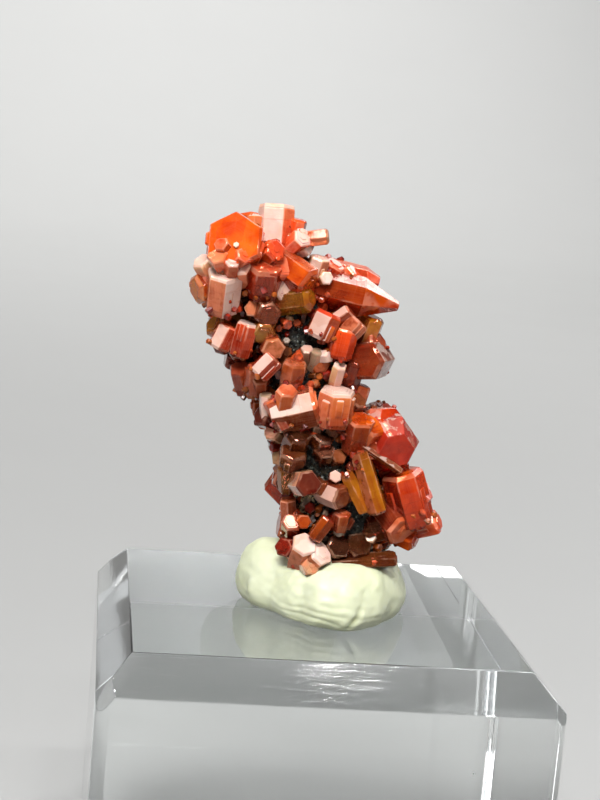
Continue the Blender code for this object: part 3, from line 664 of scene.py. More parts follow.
class SharedEffects:
    """Shader groups that more than one finish uses."""

    def __init__(self) -> None:
        """Build each group once."""
        self.rims = self.build_rims()
        self.flaws = self.build_flaws()
        self.grain = self.build_grain()
        self.dust = self.build_dust()

    def open_group(
        self, name: str, numbers: dict[str, float], outputs: tuple[str, ...]
    ) -> tuple[Board, bpy.types.bpy_prop_collection, bpy.types.Node]:
        """Start a group that reads a place.

        Args:
            name: Name of the group.
            numbers: Number inputs with their usual values.
            outputs: Names of the number outputs.

        Returns:
            The board, the given values and the output node.
        """
        tree = bpy.data.node_groups.new(name, "ShaderNodeTree")
        tree.interface.new_socket(name="Place", in_out="INPUT", socket_type="NodeSocketVector")
        for label, value in numbers.items():
            socket = tree.interface.new_socket(name=label, in_out="INPUT", socket_type="NodeSocketFloat")
            socket.default_value = value
        for label in outputs:
            tree.interface.new_socket(name=label, in_out="OUTPUT", socket_type="NodeSocketFloat")
        board = Board(tree)
        return board, board.add("NodeGroupInput").outputs, board.add("NodeGroupOutput")

    def build_rims(self) -> bpy.types.NodeTree:
        """Mask of a thin, broken line along the edges of a crystal, and of its growth lines.

        Returns:
            Group with inputs Place, Edge, Rim, Around, Width and Lines, and outputs Mask,
            Steps across the axis and Stripes along it.
        """
        numbers = {"Edge": 1.0, "Rim": 1.0, "Around": 0.0, "Width": 0.045, "Lines": 7.0}
        board, given, out = self.open_group("crystal_rims", numbers, ("Mask", "Steps", "Stripes"))
        place = given["Place"]
        nearest = board.math("MINIMUM", given["Edge"], given["Rim"])
        ragged = board.math("MULTIPLY_ADD", board.noise(place, 2600.0, 3.0), 0.16, -0.08)
        share = board.math("DIVIDE", board.math("ADD", nearest, ragged), given["Width"])
        line = board.math("SUBTRACT", 1.0, share, clamp=True)
        kept = board.spread(board.noise(place, 620.0, 1.0), 0.46, 0.6)
        board.wire(out, Mask=board.math("MULTIPLY", line, kept))
        bend = board.math("MULTIPLY", board.noise(place, 700.0, 1.0), 0.5)
        for label, kind in (("Rim", "Steps"), ("Around", "Stripes")):
            read = board.math("MULTIPLY", board.math("ADD", given[label], bend), given["Lines"])
            steps = board.add("ShaderNodeTexNoise", noise_dimensions="1D", W=read, Scale=1.0, Detail=2.0)
            board.feed(out.inputs[kind], board.spread(steps.outputs["Fac"], 0.40, 0.60))
        return board.tree

    def build_flaws(self) -> bpy.types.NodeTree:
        """Patches in a crystal, each with its own darkness and its own slight tilt.

        Returns:
            Group with inputs Place and Cells, and outputs Dark and Tilt.
        """
        board, given, out = self.open_group("crystal_flaws", {"Cells": 900.0}, ("Dark", "Tilt"))
        place = given["Place"]
        wave = board.add("ShaderNodeTexNoise", Vector=place, Scale=1500.0)
        bent = board.vector("MULTIPLY_ADD", wave.outputs["Color"], (0.7 * MM,) * 3, place)
        cells = board.add("ShaderNodeTexVoronoi", Vector=bent, Scale=given["Cells"]).outputs["Color"]
        dark = board.add("ShaderNodeSeparateColor", Color=cells).outputs[0]
        rise = board.vector("DOT_PRODUCT", board.vector("SUBTRACT", cells, (0.5,) * 3), place)
        board.wire(out, Dark=dark, Tilt=board.math("DIVIDE", rise, MM))
        return board.tree

    def build_grain(self) -> bpy.types.NodeTree:
        """Coarse and fine unevenness of a surface.

        Returns:
            Group with inputs Place, Coarse and Fine, and outputs Broad, Small and Height.
        """
        numbers = {"Coarse": 500.0, "Fine": 4000.0}
        board, given, out = self.open_group("surface_grain", numbers, ("Broad", "Small", "Height"))
        broad = board.noise(given["Place"], given["Coarse"], 3.0)
        small = board.noise(given["Place"], given["Fine"], 4.0, 0.6)
        board.wire(out, Broad=broad, Small=small, Height=board.math("MULTIPLY_ADD", small, 0.35, broad))
        return board.tree

    def build_dust(self) -> bpy.types.NodeTree:
        """Scattered specks.

        Returns:
            Group with inputs Place, Cells and Size, and output Mask.
        """
        board, given, out = self.open_group("fine_dust", {"Cells": 900.0, "Size": 0.12}, ("Mask",))
        cells = board.add("ShaderNodeTexVoronoi", Vector=given["Place"], Scale=given["Cells"]).outputs
        chosen = board.add("ShaderNodeSeparateColor", Color=cells["Color"]).outputs[0]
        near = board.math("LESS_THAN", cells["Distance"], given["Size"])
        some = board.math("GREATER_THAN", chosen, 0.72)
        board.wire(out, Mask=board.math("MULTIPLY", near, some))
        return board.tree


EFFECTS = SharedEffects()


def new_material(name: str) -> tuple[bpy.types.Material, Board, bpy.types.Node, Socket]:
    """Material with its shader, and the place that its patterns read.

    Args:
        name: Name of the material.

    Returns:
        The material, its board, the Principled shader and the object coordinates.
    """
    material = bpy.data.materials.new(name)
    material.use_nodes = True
    board = Board(material.node_tree)
    shader = material.node_tree.nodes["Principled BSDF"]
    return material, board, shader, board.add("ShaderNodeTexCoord").outputs["Object"]


@dataclass(frozen=True)
class VanadiniteFinish:
    """Adamantine crystal: its colour comes with the mesh, its depth from the shader.

    `frost` is the strength of matt spots, `lines` that of the growth lines, `depth` how much
    the inside varies, at random and by a painted glow along the edges, `broken` how torn the
    painted highlights are, and `rim` the strength of the painted highlight along the edges.
    """

    name: str
    transmission: float
    roughness: float
    frost: float
    lines: float
    depth: float
    broken: float
    subsurface: float = 0.0
    rim: float = 0.5
    index: float = 1.68
    # Dark and lit ends of the body, for random clouds and flaws and for the painted glow along the edges
    inside: Colour = (0.46, 0.13, 0.10)
    glow: Colour = (1.02, 1.4, 1.1)
    streak: Colour = (0.90, 0.45, 0.25)
    # Painted hazy sheen, then the painted highlight and its dimmer variant
    veil: Colour = (0.68, 0.20, 0.095)
    white: Colour = (0.70, 0.52, 0.45)
    shaded_white: Colour = (0.62, 0.36, 0.28)
    frosted: Colour = (0.86, 0.52, 0.40)
    # Painted highlight along the edges
    worn: Colour = (0.95, 0.56, 0.38)
    reflected: tuple[float, ...] = (1.0, 0.26, 0.14, 1.0)

    def material(self) -> bpy.types.Material:
        """Crystal material with painted highlights on the rims and on some faces, painted sheen, a painted
        glow along the edges, growth lines, clouds and frosted spots.

        Returns:
            The finished material.
        """
        material, board, shader, place = new_material(self.name)
        tone = board.attribute("tone", "Color")
        edge, rim, around = (board.attribute(name) for name in ("edge", "rim", "around"))
        edges = board.group(EFFECTS.rims, Place=place, Edge=edge, Rim=rim, Around=around)
        flaws = board.group(EFFECTS.flaws, Place=place, Cells=850.0)
        grain = board.group(EFFECTS.grain, Place=place, Coarse=520.0, Fine=4200.0)

        # Depths of the body: random clouds and flaws, and a painted glow along the edges with painted shade
        # towards the middle of each face; with growth lines
        clouds = board.math("MULTIPLY", board.spread(grain["Broad"], 0.38, 0.64), 0.6)
        shade = board.math("MULTIPLY_ADD", flaws["Dark"], 0.5, clouds, clamp=True)
        # Painted glow along the edges, painted shade towards the middle of a face
        inner = board.math("MULTIPLY", board.spread(edge, 0.02, 0.75), 0.35)
        depth = board.math("MULTIPLY_ADD", shade, 0.8, inner, clamp=True)
        glow = board.blend(self.depth, tone, self.glow, "MULTIPLY")
        dark = board.blend(1.0, tone, self.inside, "MULTIPLY")
        colour = board.blend(board.math("MULTIPLY", depth, self.depth), glow, dark)
        across = board.math("MULTIPLY", edges["Steps"], 0.25 * self.lines)
        lines = board.math("MULTIPLY_ADD", edges["Stripes"], 0.6 * self.lines, across)
        colour = board.blend(lines, colour, board.blend(0.35, tone, self.streak))

        # Painted hazy sheen on some faces, and painted highlights on others, torn along noise, cracks and
        # flaws
        jagged = board.noise(place, 1300.0, 3.0)
        cloudy = board.spread(jagged, 0.40, 0.60, 0.15, 1.0)
        colour = board.blend(board.math("MULTIPLY", board.attribute("veil"), cloudy), colour, self.veil)
        cracks = board.math("MULTIPLY_ADD", edges["Stripes"], -0.10 * self.lines, jagged)
        patchy = board.math("MULTIPLY_ADD", flaws["Dark"], -0.10, cracks)
        left = 0.9 - 1.7 * self.broken
        whole = board.spread(patchy, self.broken - 0.02, self.broken + 0.02, left, 0.95)
        flash = board.math("MULTIPLY", board.attribute("white"), whole)
        colour = board.blend(flash, colour, board.blend(shade, self.white, self.shaded_white))

        # Frosted spots, and a painted highlight along the edges
        spots = board.spread(grain["Small"], 0.56, 0.74)
        frosted = board.math("MULTIPLY", spots, self.frost)
        colour = board.blend(frosted, colour, self.frosted)
        mask = board.math("MULTIPLY", edges["Mask"], self.rim)
        colour = board.blend(mask, colour, board.blend(0.55, tone, self.worn))

        gloss = board.math("MULTIPLY_ADD", frosted, 0.35, self.roughness)
        gloss = board.math("MULTIPLY_ADD", grain["Small"], 0.06, gloss)
        relief = board.math("MULTIPLY_ADD", edges["Steps"], self.lines, grain["Height"])
        relief = board.math("MULTIPLY_ADD", edges["Stripes"], self.lines, relief)
        relief = board.math("MULTIPLY_ADD", flaws["Tilt"], 7.0, relief)
        board.wire(shader, Base_Color=colour, Roughness=gloss, Normal=board.bump(relief, 0.3, 0.02))
        board.wire(shader, IOR=self.index, Transmission_Weight=self.transmission)
        board.wire(shader, Specular_Tint=self.reflected, Coat_Weight=0.3, Coat_Roughness=0.02)
        board.wire(shader, Subsurface_Weight=self.subsurface, Subsurface_Radius=(1.0, 0.16, 0.05))
        board.wire(shader, Subsurface_Scale=0.5 * MM)
        return material


@dataclass(frozen=True)
class RockFinish:
    """Black, glittering manganese rock with a greenish cast."""

    name: str = "dark_matrix"
    base: Colour = (0.007, 0.008, 0.0075)
    dusty: Colour = (0.05, 0.045, 0.03)
    glint: Colour = (0.16, 0.18, 0.16)

    def material(self) -> bpy.types.Material:
        """Rock material with sparkling specks, painted paler as glints.

        Returns:
            The finished material.
        """
        material, board, shader, place = new_material(self.name)
        grain = board.group(EFFECTS.grain, Place=place, Coarse=1200.0, Fine=7000.0)
        specks = board.group(EFFECTS.dust, Place=place, Cells=5200.0, Size=0.35)["Mask"]
        colour = board.blend(board.spread(grain["Broad"], 0.4, 0.7), self.base, self.dusty)
        gloss = board.spread(grain["Small"], 0.3, 0.7, 0.18, 0.65)
        # Specks painted in a paler colour as glints
        board.wire(shader, Base_Color=board.blend(specks, colour, self.glint), Roughness=gloss)
        board.wire(shader, Normal=board.bump(grain["Height"], 1.0, 0.08), Specular_IOR_Level=0.2)
        return material


@dataclass(frozen=True)
class GrainFinish:
    """Small grains that take their colour from the mesh."""

    name: str
    roughness: float
    shine: float = 0.5
    dull: Colour = (0.4, 0.4, 0.38)

    def material(self) -> bpy.types.Material:
        """Grain material.

        Returns:
            The finished material.
        """
        material, board, shader, place = new_material(self.name)
        tone = board.attribute("tone", "Color")
        grain = board.group(EFFECTS.grain, Place=place, Coarse=3000.0, Fine=9000.0)
        dark = board.blend(1.0, tone, self.dull, "MULTIPLY")
        colour = board.blend(board.spread(grain["Broad"], 0.35, 0.65), tone, dark)
        gloss = board.math("MULTIPLY_ADD", grain["Small"], 0.2, self.roughness)
        board.wire(shader, Base_Color=colour, Roughness=gloss, Specular_IOR_Level=self.shine)
        board.wire(shader, Normal=board.bump(grain["Height"], 0.4, 0.03))
        return material


@dataclass(frozen=True)
class TackFinish:
    """Pale, faintly green kneaded tack."""

    name: str = "pale_tack"
    base: Colour = (0.45, 0.475, 0.315)
    pale: Colour = (0.49, 0.51, 0.365)
    shade: Colour = (0.34, 0.36, 0.22)
    lint: Colour = (0.45, 0.44, 0.36)

    def material(self) -> bpy.types.Material:
        """Tack material with a soft glow, painted shade in the pressed lines and the fold, and lint.

        Returns:
            The finished material.
        """
        material, board, shader, place = new_material(self.name)
        grain = board.group(EFFECTS.grain, Place=place, Coarse=260.0, Fine=2400.0)
        lint = board.group(EFFECTS.dust, Place=place, Cells=700.0, Size=0.05)["Mask"]
        colour = board.blend(board.spread(grain["Broad"], 0.35, 0.7), self.base, self.pale)
        # Painted shade darkens the pressed lines and the fold
        colour = board.blend(board.attribute("hollow"), colour, self.shade)
        colour = board.blend(board.math("MULTIPLY", lint, 0.4), colour, self.lint)
        board.wire(shader, Base_Color=colour, Normal=board.bump(grain["Height"], 0.35, 0.05))
        board.wire(shader, Roughness=board.spread(grain["Small"], 0.3, 0.7, 0.42, 0.62))
        board.wire(shader, Subsurface_Weight=0.25, Subsurface_Radius=(1.0, 0.9, 0.5))
        board.wire(shader, Subsurface_Scale=0.6 * MM)
        return material


@dataclass(frozen=True)
class AcrylicFinish:
    """Clear cast acrylic, polished or left with sanding lines."""

    name: str
    roughness: float
    lines: float
    tint: tuple[float, ...] = (0.93, 0.955, 0.95, 1.0)

    def material(self) -> bpy.types.Material:
        """See-through material with dust and, where set, fine lines along the edges.

        Returns:
            The finished material.
        """
        material, board, shader, place = new_material(self.name)
        drawn = board.add("ShaderNodeMapping", Vector=place, Scale=(0.05, 0.05, 1.0))
        fine = board.noise(drawn.outputs["Vector"], 6000.0, 3.0, 0.7)
        dust = board.group(EFFECTS.dust, Place=place, Cells=420.0, Size=0.03)["Mask"]
        gloss = board.math("MULTIPLY_ADD", board.spread(fine, 0.45, 0.75), self.lines * 0.25, self.roughness)
        gloss = board.math("MAXIMUM", gloss, board.math("MULTIPLY", dust, 0.7))
        board.wire(shader, Roughness=gloss, Normal=board.bump(fine, self.lines, 0.01))
        board.wire(shader, Base_Color=self.tint, Transmission_Weight=1.0, IOR=1.49)
        return material


@dataclass(frozen=True)
class FloorFinish:
    """Plain pale studio floor."""

    name: str = "pale_floor"
    base: Colour = (0.27, 0.27, 0.265)
    pale: Colour = (0.2781, 0.2781, 0.27295)

    def material(self) -> bpy.types.Material:
        """Matte floor material with a faint grain.

        Returns:
            The finished material.
        """
        material, board, shader, place = new_material(self.name)
        grain = board.group(EFFECTS.grain, Place=place, Coarse=30.0, Fine=900.0)
        board.wire(shader, Base_Color=board.blend(grain["Broad"], self.base, self.pale), Roughness=0.6)
        return material


VANADINITE = (
    VanadiniteFinish(
        "vanadinite_glassy", transmission=0.50, roughness=0.03, frost=0.02, lines=0.12, depth=0.90,
        broken=0.47
    ),
    VanadiniteFinish(
        "vanadinite_resinous", transmission=0.25, roughness=0.05, frost=0.04, lines=0.16, depth=0.85,
        broken=0.24
    ),
    VanadiniteFinish(
        "vanadinite_satin", transmission=0.08, roughness=0.10, frost=0.12, lines=0.28, depth=0.65,
        broken=0.20, subsurface=0.08
    ),
)
SMALL_VANADINITE = GrainFinish("small_vanadinite", 0.12)
BLACK_GRIT = GrainFinish("black_grit", 0.25, shine=0.2)
SANDY_GRAINS = GrainFinish("sandy_grains", 0.7)
POLISHED = AcrylicFinish("acrylic_polished", 0.012, lines=0.05)
BEVELLED = AcrylicFinish("acrylic_bevel", 0.05, lines=0.35)

class CrystalShape:
    """Corners, faces and surface values of one crystal."""

    SIDES = 6
    COLUMNS = 24
    APOTHEM = math.cos(math.pi / 6)
    VALUES = ("edge", "rim", "around", "cover", "veil", "white")

    # Where the four columns of a corner stand past it, in sides
    COLUMN_TURNS = (-0.06, 0.0, 0.06, 0.5)

    # Irregular sides, and how dark the painted shade is on single sides, at random, and towards the root
    UNEVEN = 0.09
    DARK = Vector((0.22, 0.014, 0.006))
    DEPTH = 0.85
    SUNK = 0.72

    # Light that the painted highlights and painted sheen stand for, and the share of facing from which faces
    # get them
    FRONT = -1.5
    LIGHT = (-12.0, 36.0)
    VEIL_FROM, VEIL_OVER, VEIL_MOST = 0.57, 0.34, 0.3
    WHITE_FROM, WHITE_OVER = 0.94, 0.05
    CHOSEN_VEIL = 0.6
    SLOPE_WHITE = 0.7

    # Blunt rear end: share of the width back from the root, and share of the radius
    BLUNT = ((0.0, 0.80), (0.03, 0.84), (0.11, 0.985))
    ROOT = 0.9

    # Growth ledges on the sides and terraces on the end
    LEDGED, LEDGE_EVERY, LEDGES_MOST, LEDGE_DEEP = 1.15, 0.75, 5, 0.012
    TERRACED, TERRACE_RISE, TERRACE_SHARE = 1.25, (0.03, 0.07), (0.35, 0.9)
    HAIR = 0.001

    def __init__(self, crystal: Crystal, seed: int) -> None:
        """Work out the frame of the crystal and its small irregularities.

        Args:
            crystal: The crystal to shape.
            seed: Seed of its irregularities.
        """
        self.crystal = crystal
        self.dice = random.Random(seed)
        self.axis, self.side, self.up = prism_axes(crystal)
        self.radius = crystal.across / 2
        self.bevel = min(0.05, 0.035 * crystal.across)
        self.planes = [1.0 + self.dice.uniform(-self.UNEVEN, self.UNEVEN) for _ in range(self.SIDES)]
        self.bulge = self.dice.uniform(-0.004, 0.004)
        self.shades = [self.dice.uniform(0.0, 1.0) ** 1.4 * self.DEPTH for _ in range(self.SIDES)]
        self.sheens = self.find_sheens()
        self.points: list[Vector] = []
        self.tone: list[Vector] = []
        self.values: dict[str, list[float]] = {name: [] for name in self.VALUES}
        self.starts: list[int] = []

    def find_sheens(self) -> list[tuple[float, float]]:
        """How strong the painted sheen and the painted highlight are on each side and on the end.

        Returns:
            Two shares for each side, and last for the end.
        """
        crystal = self.crystal
        turn = self.LIGHT[0] if crystal.tip[1] < self.FRONT else crystal.turn
        light = deg_vector(turn, self.LIGHT[1])
        normals = []
        for k in range(self.SIDES):
            angle = math.radians(crystal.roll + 60 * k + 30)
            normals.append(self.side * math.cos(angle) * crystal.flat + self.up * math.sin(angle))
        found = []
        for k, normal in enumerate((*normals, self.axis)):
            facing = normal.normalized().dot(light)
            veil = clamp((facing - self.VEIL_FROM) / self.VEIL_OVER) * self.dice.uniform(0.0, self.VEIL_MOST)
            white = clamp((facing - self.WHITE_FROM) / self.WHITE_OVER) * self.dice.choice((0.0, 0.7, 1.0))
            if crystal.white is not None:
                veil = self.CHOSEN_VEIL * (k in crystal.veiled)
                white = float(k in crystal.white)
            found.append((veil, white))
        return found

    def outline(self, scale: float) -> list[tuple[float, float, float]]:
        """Rounded hexagon across the axis.

        Args:
            scale: Share of the full radius.

        Returns:
            For each column, its place along side and up and its distance from an edge.
        """
        hexagon = []
        for k in range(self.SIDES):
            angle = math.radians(self.crystal.roll + 60 * k)
            before, after = self.planes[k - 1], self.planes[k]
            out = (before + after) / 2 * self.radius * scale
            along = (after - before) * self.APOTHEM * self.radius * scale
            x = math.cos(angle) * out - math.sin(angle) * along
            y = math.sin(angle) * out + math.cos(angle) * along
            hexagon.append(Vector((x, y * self.crystal.flat)))
        found = []
        for k, corner in enumerate(hexagon):
            before, after = hexagon[k - 1], hexagon[(k + 1) % self.SIDES]
            cut = min(self.bevel, 0.2 * (after - corner).length)
            near = corner + (before - corner).normalized() * cut
            far = corner + (after - corner).normalized() * cut
            middle = (near + far) * 0.25 + corner * 0.5
            span = (after - corner).length / 2
            centre = (corner + after) / 2 * (1.0 + self.bulge)
            found += [(*near, 0.0), (*middle, 0.0), (*far, 0.0), (*centre, span)]
        return found

    def tone_at(self, depth: float, on_end: bool) -> Vector:
        """Colour at a depth below the tip.

        Args:
            depth: Distance from the end face along the axis.
            on_end: Whether the place is on the end face or its slopes.

        Returns:
            Linear colour.
        """
        body = Vector(self.crystal.hue.value)
        tip = Vector((self.crystal.cap or self.crystal.hue).value)
        share = clamp(depth / self.crystal.length)
        tone = tip if on_end else body.lerp(tip, 0.25 * (1 - share) ** 2)
        # Darker towards the root: painted shade where the crystal meets the rock
        return tone.lerp(self.DARK * (0.35 + 0.65 * body.x), self.SUNK * share**1.5)

    def girth(self, column: int) -> float:
        """Way round the prism, counted up to the far corner and back.

        Args:
            column: Number of the column.

        Returns:
            Distance in millimetres.
        """
        half = self.SIDES / 2
        turns = column // 4 + self.COLUMN_TURNS[column % 4]
        return abs(half - abs(turns - half)) * self.radius

    def ring(self, depth: float, scale: float, on_end: bool = False, inward: float = 0.0) -> None:
        """Add a ring of corners.

        Args:
            depth: Distance from the tip plane along the axis.
            scale: Share of the full radius.
            on_end: Whether the ring lies on the end face or its slopes.
            inward: Distance inside the rim of the end face.
        """
        self.starts.append(len(self.points))
        centre = Vector(self.crystal.tip) - self.axis * depth
        tone = self.tone_at(depth, on_end)
        cover = 0.0 if on_end else 1.0 - clamp(3.0 - 3.6 * depth / self.crystal.length)
        # Colour towards which single sides are darkened at random, as painted shade
        sunk = self.DARK * (0.3 + self.crystal.hue.value[0])
        flat_end = on_end and (inward > self.HAIR or self.crystal.shoulder == 0)
        for column, (across, rise, distance) in enumerate(self.outline(scale)):
            self.points.append(centre + self.side * across + self.up * rise)
            side = ((column + 3) // 4 - 1) % self.SIDES if column % 4 < 2 else column // 4
            shade = 0.3 * self.shades[side] if on_end else self.shades[side]
            # Painted sheen and painted highlight of this face, the highlight weaker on the slopes
            veil, white = self.sheens[-1 if flat_end else side]
            if on_end and not flat_end:
                white *= self.SLOPE_WHITE
            self.tone.append(tone.lerp(sunk, shade * (1 - veil)))
            edge = self.radius if inward > 0 else distance
            rim = inward if on_end else depth
            around = 0.0 if on_end else self.girth(column)
            for layer, value in zip(self.values.values(), (edge, rim, around, cover, veil, white)):
                layer.append(value)

    def build(self) -> "CrystalShape":
        """Lay the rings from the root to the tip.

        Returns:
            The shape itself.
        """
        crystal = self.crystal
        wide, length = crystal.across, crystal.length
        slope = crystal.shoulder or 0.12 * wide
        for shift, scale in self.BLUNT if crystal.both else ((0.0, self.ROOT),):
            self.ring(length - shift * wide, scale)
        ledges = min(self.LEDGES_MOST, int((length - slope) / self.LEDGE_EVERY)) if wide > self.LEDGED else 1
        scale = 1.0 - self.LEDGE_DEEP * ledges
        for k in range(ledges):
            share = (k + self.dice.uniform(0.35, 0.85)) / (ledges + 0.5)
            depth = length + (slope - length) * share
            self.ring(depth + 0.02, scale)
            scale += self.dice.uniform(0.004, 0.022)
            self.ring(depth, min(scale, 1.01))
        self.ring(slope + self.bevel, 1.0)
        self.ring(slope - 0.1 * self.bevel, 1.0 - 0.5 * self.bevel / self.radius)
        self.close_end(slope, crystal.end)
        return self

    def close_end(self, slope: float, end: float) -> None:
        """Slopes, terraces and middle of the free end.

        Args:
            slope: Height of the slopes.
            end: Share of the radius that the end face keeps.
        """
        step = 0.0
        terraces = []
        if self.crystal.across > self.TERRACED and self.crystal.shoulder == 0:
            step = self.dice.uniform(*self.TERRACE_RISE)
            count = self.dice.randint(0, 2)
            terraces = sorted((self.dice.uniform(*self.TERRACE_SHARE) for _ in range(count)), reverse=True)
        depth = step * len(terraces)
        near = min(0.5 * slope, self.bevel)
        first = depth + slope - near if slope > 2 * near else depth + slope * 0.5
        self.ring(first, 1 - (1 - end) * near / slope, True)
        self.ring(depth + near * 0.7, end + (1 - end) * near * 0.7 / slope, True, self.HAIR)
        self.ring(depth, end - self.bevel / self.radius, True, self.bevel)
        for share in terraces:
            inward = self.radius * end * (1 - share) * 0.87
            self.ring(depth, end * share, True, inward)
            depth = max(0.0, depth - step)
            self.ring(depth, end * share - 0.03, True, inward + 0.01)
        self.ring(depth, end * 0.25, True, self.radius * end * 0.65)


# Least width and longest slopes of a crystal that has companions, and their least length
HOST_ACROSS = 1.4
HOST_SLOPES = 1.5
COMPANION_LENGTH = 0.4


def companions(crystal: Crystal, dice: random.Random) -> list[Crystal]:
    """Small crystals grown parallel to a big one, half sunk in its sides.

    Args:
        crystal: The big crystal.
        dice: Source of chance.

    Returns:
        The small crystals, none beside a narrow or long-pointed one.
    """
    if crystal.across < HOST_ACROSS or crystal.shoulder > HOST_SLOPES:
        return []
    axis, side, up = prism_axes(crystal)
    found = []
    for _ in range(dice.randint(1, 2 + int(crystal.across))):
        across = crystal.across * dice.uniform(0.22, 0.5)
        angle = dice.uniform(0, 2 * math.pi)
        reach = (crystal.across - across) * 0.5 * dice.uniform(0.86, 1.04)
        place = side * math.cos(angle) + up * (math.sin(angle) * crystal.flat)
        drop = crystal.length * dice.uniform(0.04, 0.5) ** 1.3 - 0.04 + crystal.shoulder
        tip = Vector(crystal.tip) + place * reach - axis * drop
        length = min(crystal.length - drop, across * dice.uniform(1.2, 2.4))
        if length > COMPANION_LENGTH:
            roll = crystal.roll + dice.choice((0.0, 0.0, 0.0, dice.uniform(-12, 12)))
            sizes = {"tip": tuple(tip), "across": across, "length": length, "roll": roll}
            found.append(replace(crystal, **sizes, end=Crystal.end, shoulder=0.0, both=False))
    return found


class CrystalMesh:
    """Joins crystals in one mesh with their colours and edge distances."""

    def __init__(self, name: str, crystals: tuple[Crystal, ...], bright: float) -> None:
        """Keep what the mesh is made from.

        Args:
            name: Name of the piece, which seeds its irregularities.
            crystals: The crystals.
            bright: Factor on all their colours, painted light or painted shade over the whole cluster.
        """
        self.name = name
        self.crystals = crystals
        self.bright = bright

    def build(self) -> bpy.types.Object:
        """Mesh of all crystals.

        Returns:
            The object, its faces set to three material slots in the order of Lustre.
        """
        points, faces, tone, slots = [], [], [], []
        values = {name: [] for name in CrystalShape.VALUES}
        dice = random.Random(len(self.crystals) + ord(self.name[0]))
        grown = [c for crystal in self.crystals for c in (crystal, *companions(crystal, dice))]
        for number, crystal in enumerate(grown):
            shape = CrystalShape(crystal, sum(map(ord, self.name)) * 101 + number).build()
            # A random factor for each crystal, times a painted light or painted shade over the whole cluster
            light = shape.dice.uniform(0.86, 1.12) * self.bright
            base = len(points)
            points += [p * MM for p in shape.points]
            tone += [(*(min(1.0, v * light) for v in t), 1.0) for t in shape.tone]
            for name, layer in values.items():
                layer += shape.values[name]
            own = loft_faces([base + start for start in shape.starts], shape.COLUMNS)
            faces += own
            slots += [crystal.lustre.value] * len(own)
        mesh = bpy.data.meshes.new(self.name)
        mesh.from_pydata(points, [], faces)
        mesh.polygons.foreach_set("material_index", slots)
        for name, layer in values.items():
            add_values(mesh, name, layer)
        colours = mesh.attributes.new("tone", "FLOAT_COLOR", "POINT")
        colours.data.foreach_set("color", np.array(tone, dtype=np.float32).ravel())
        smooth_between(mesh, 12)
        return new_object(self.name, mesh)


class FinishBox:
    """Materials made once and handed out by name."""

    def __init__(self) -> None:
        """Start empty."""
        self.made: dict[str, bpy.types.Material] = {}

    def get(self, finish: object) -> bpy.types.Material:
        """Find a material, or make it the first time that it is asked for.

        Args:
            finish: The finish.

        Returns:
            Its material.
        """
        if finish.name not in self.made:
            self.made[finish.name] = finish.material()
        return self.made[finish.name]

    def dress(self, obj: bpy.types.Object, *finishes: object) -> None:
        """Give a piece its materials and let its faces keep their slots.

        Args:
            obj: The piece.
            *finishes: Its finishes, in slot order.
        """
        slots = [p.material_index for p in obj.data.polygons]
        obj.data.materials.clear()
        for finish in finishes:
            obj.data.materials.append(self.get(finish))
        obj.data.polygons.foreach_set("material_index", slots)


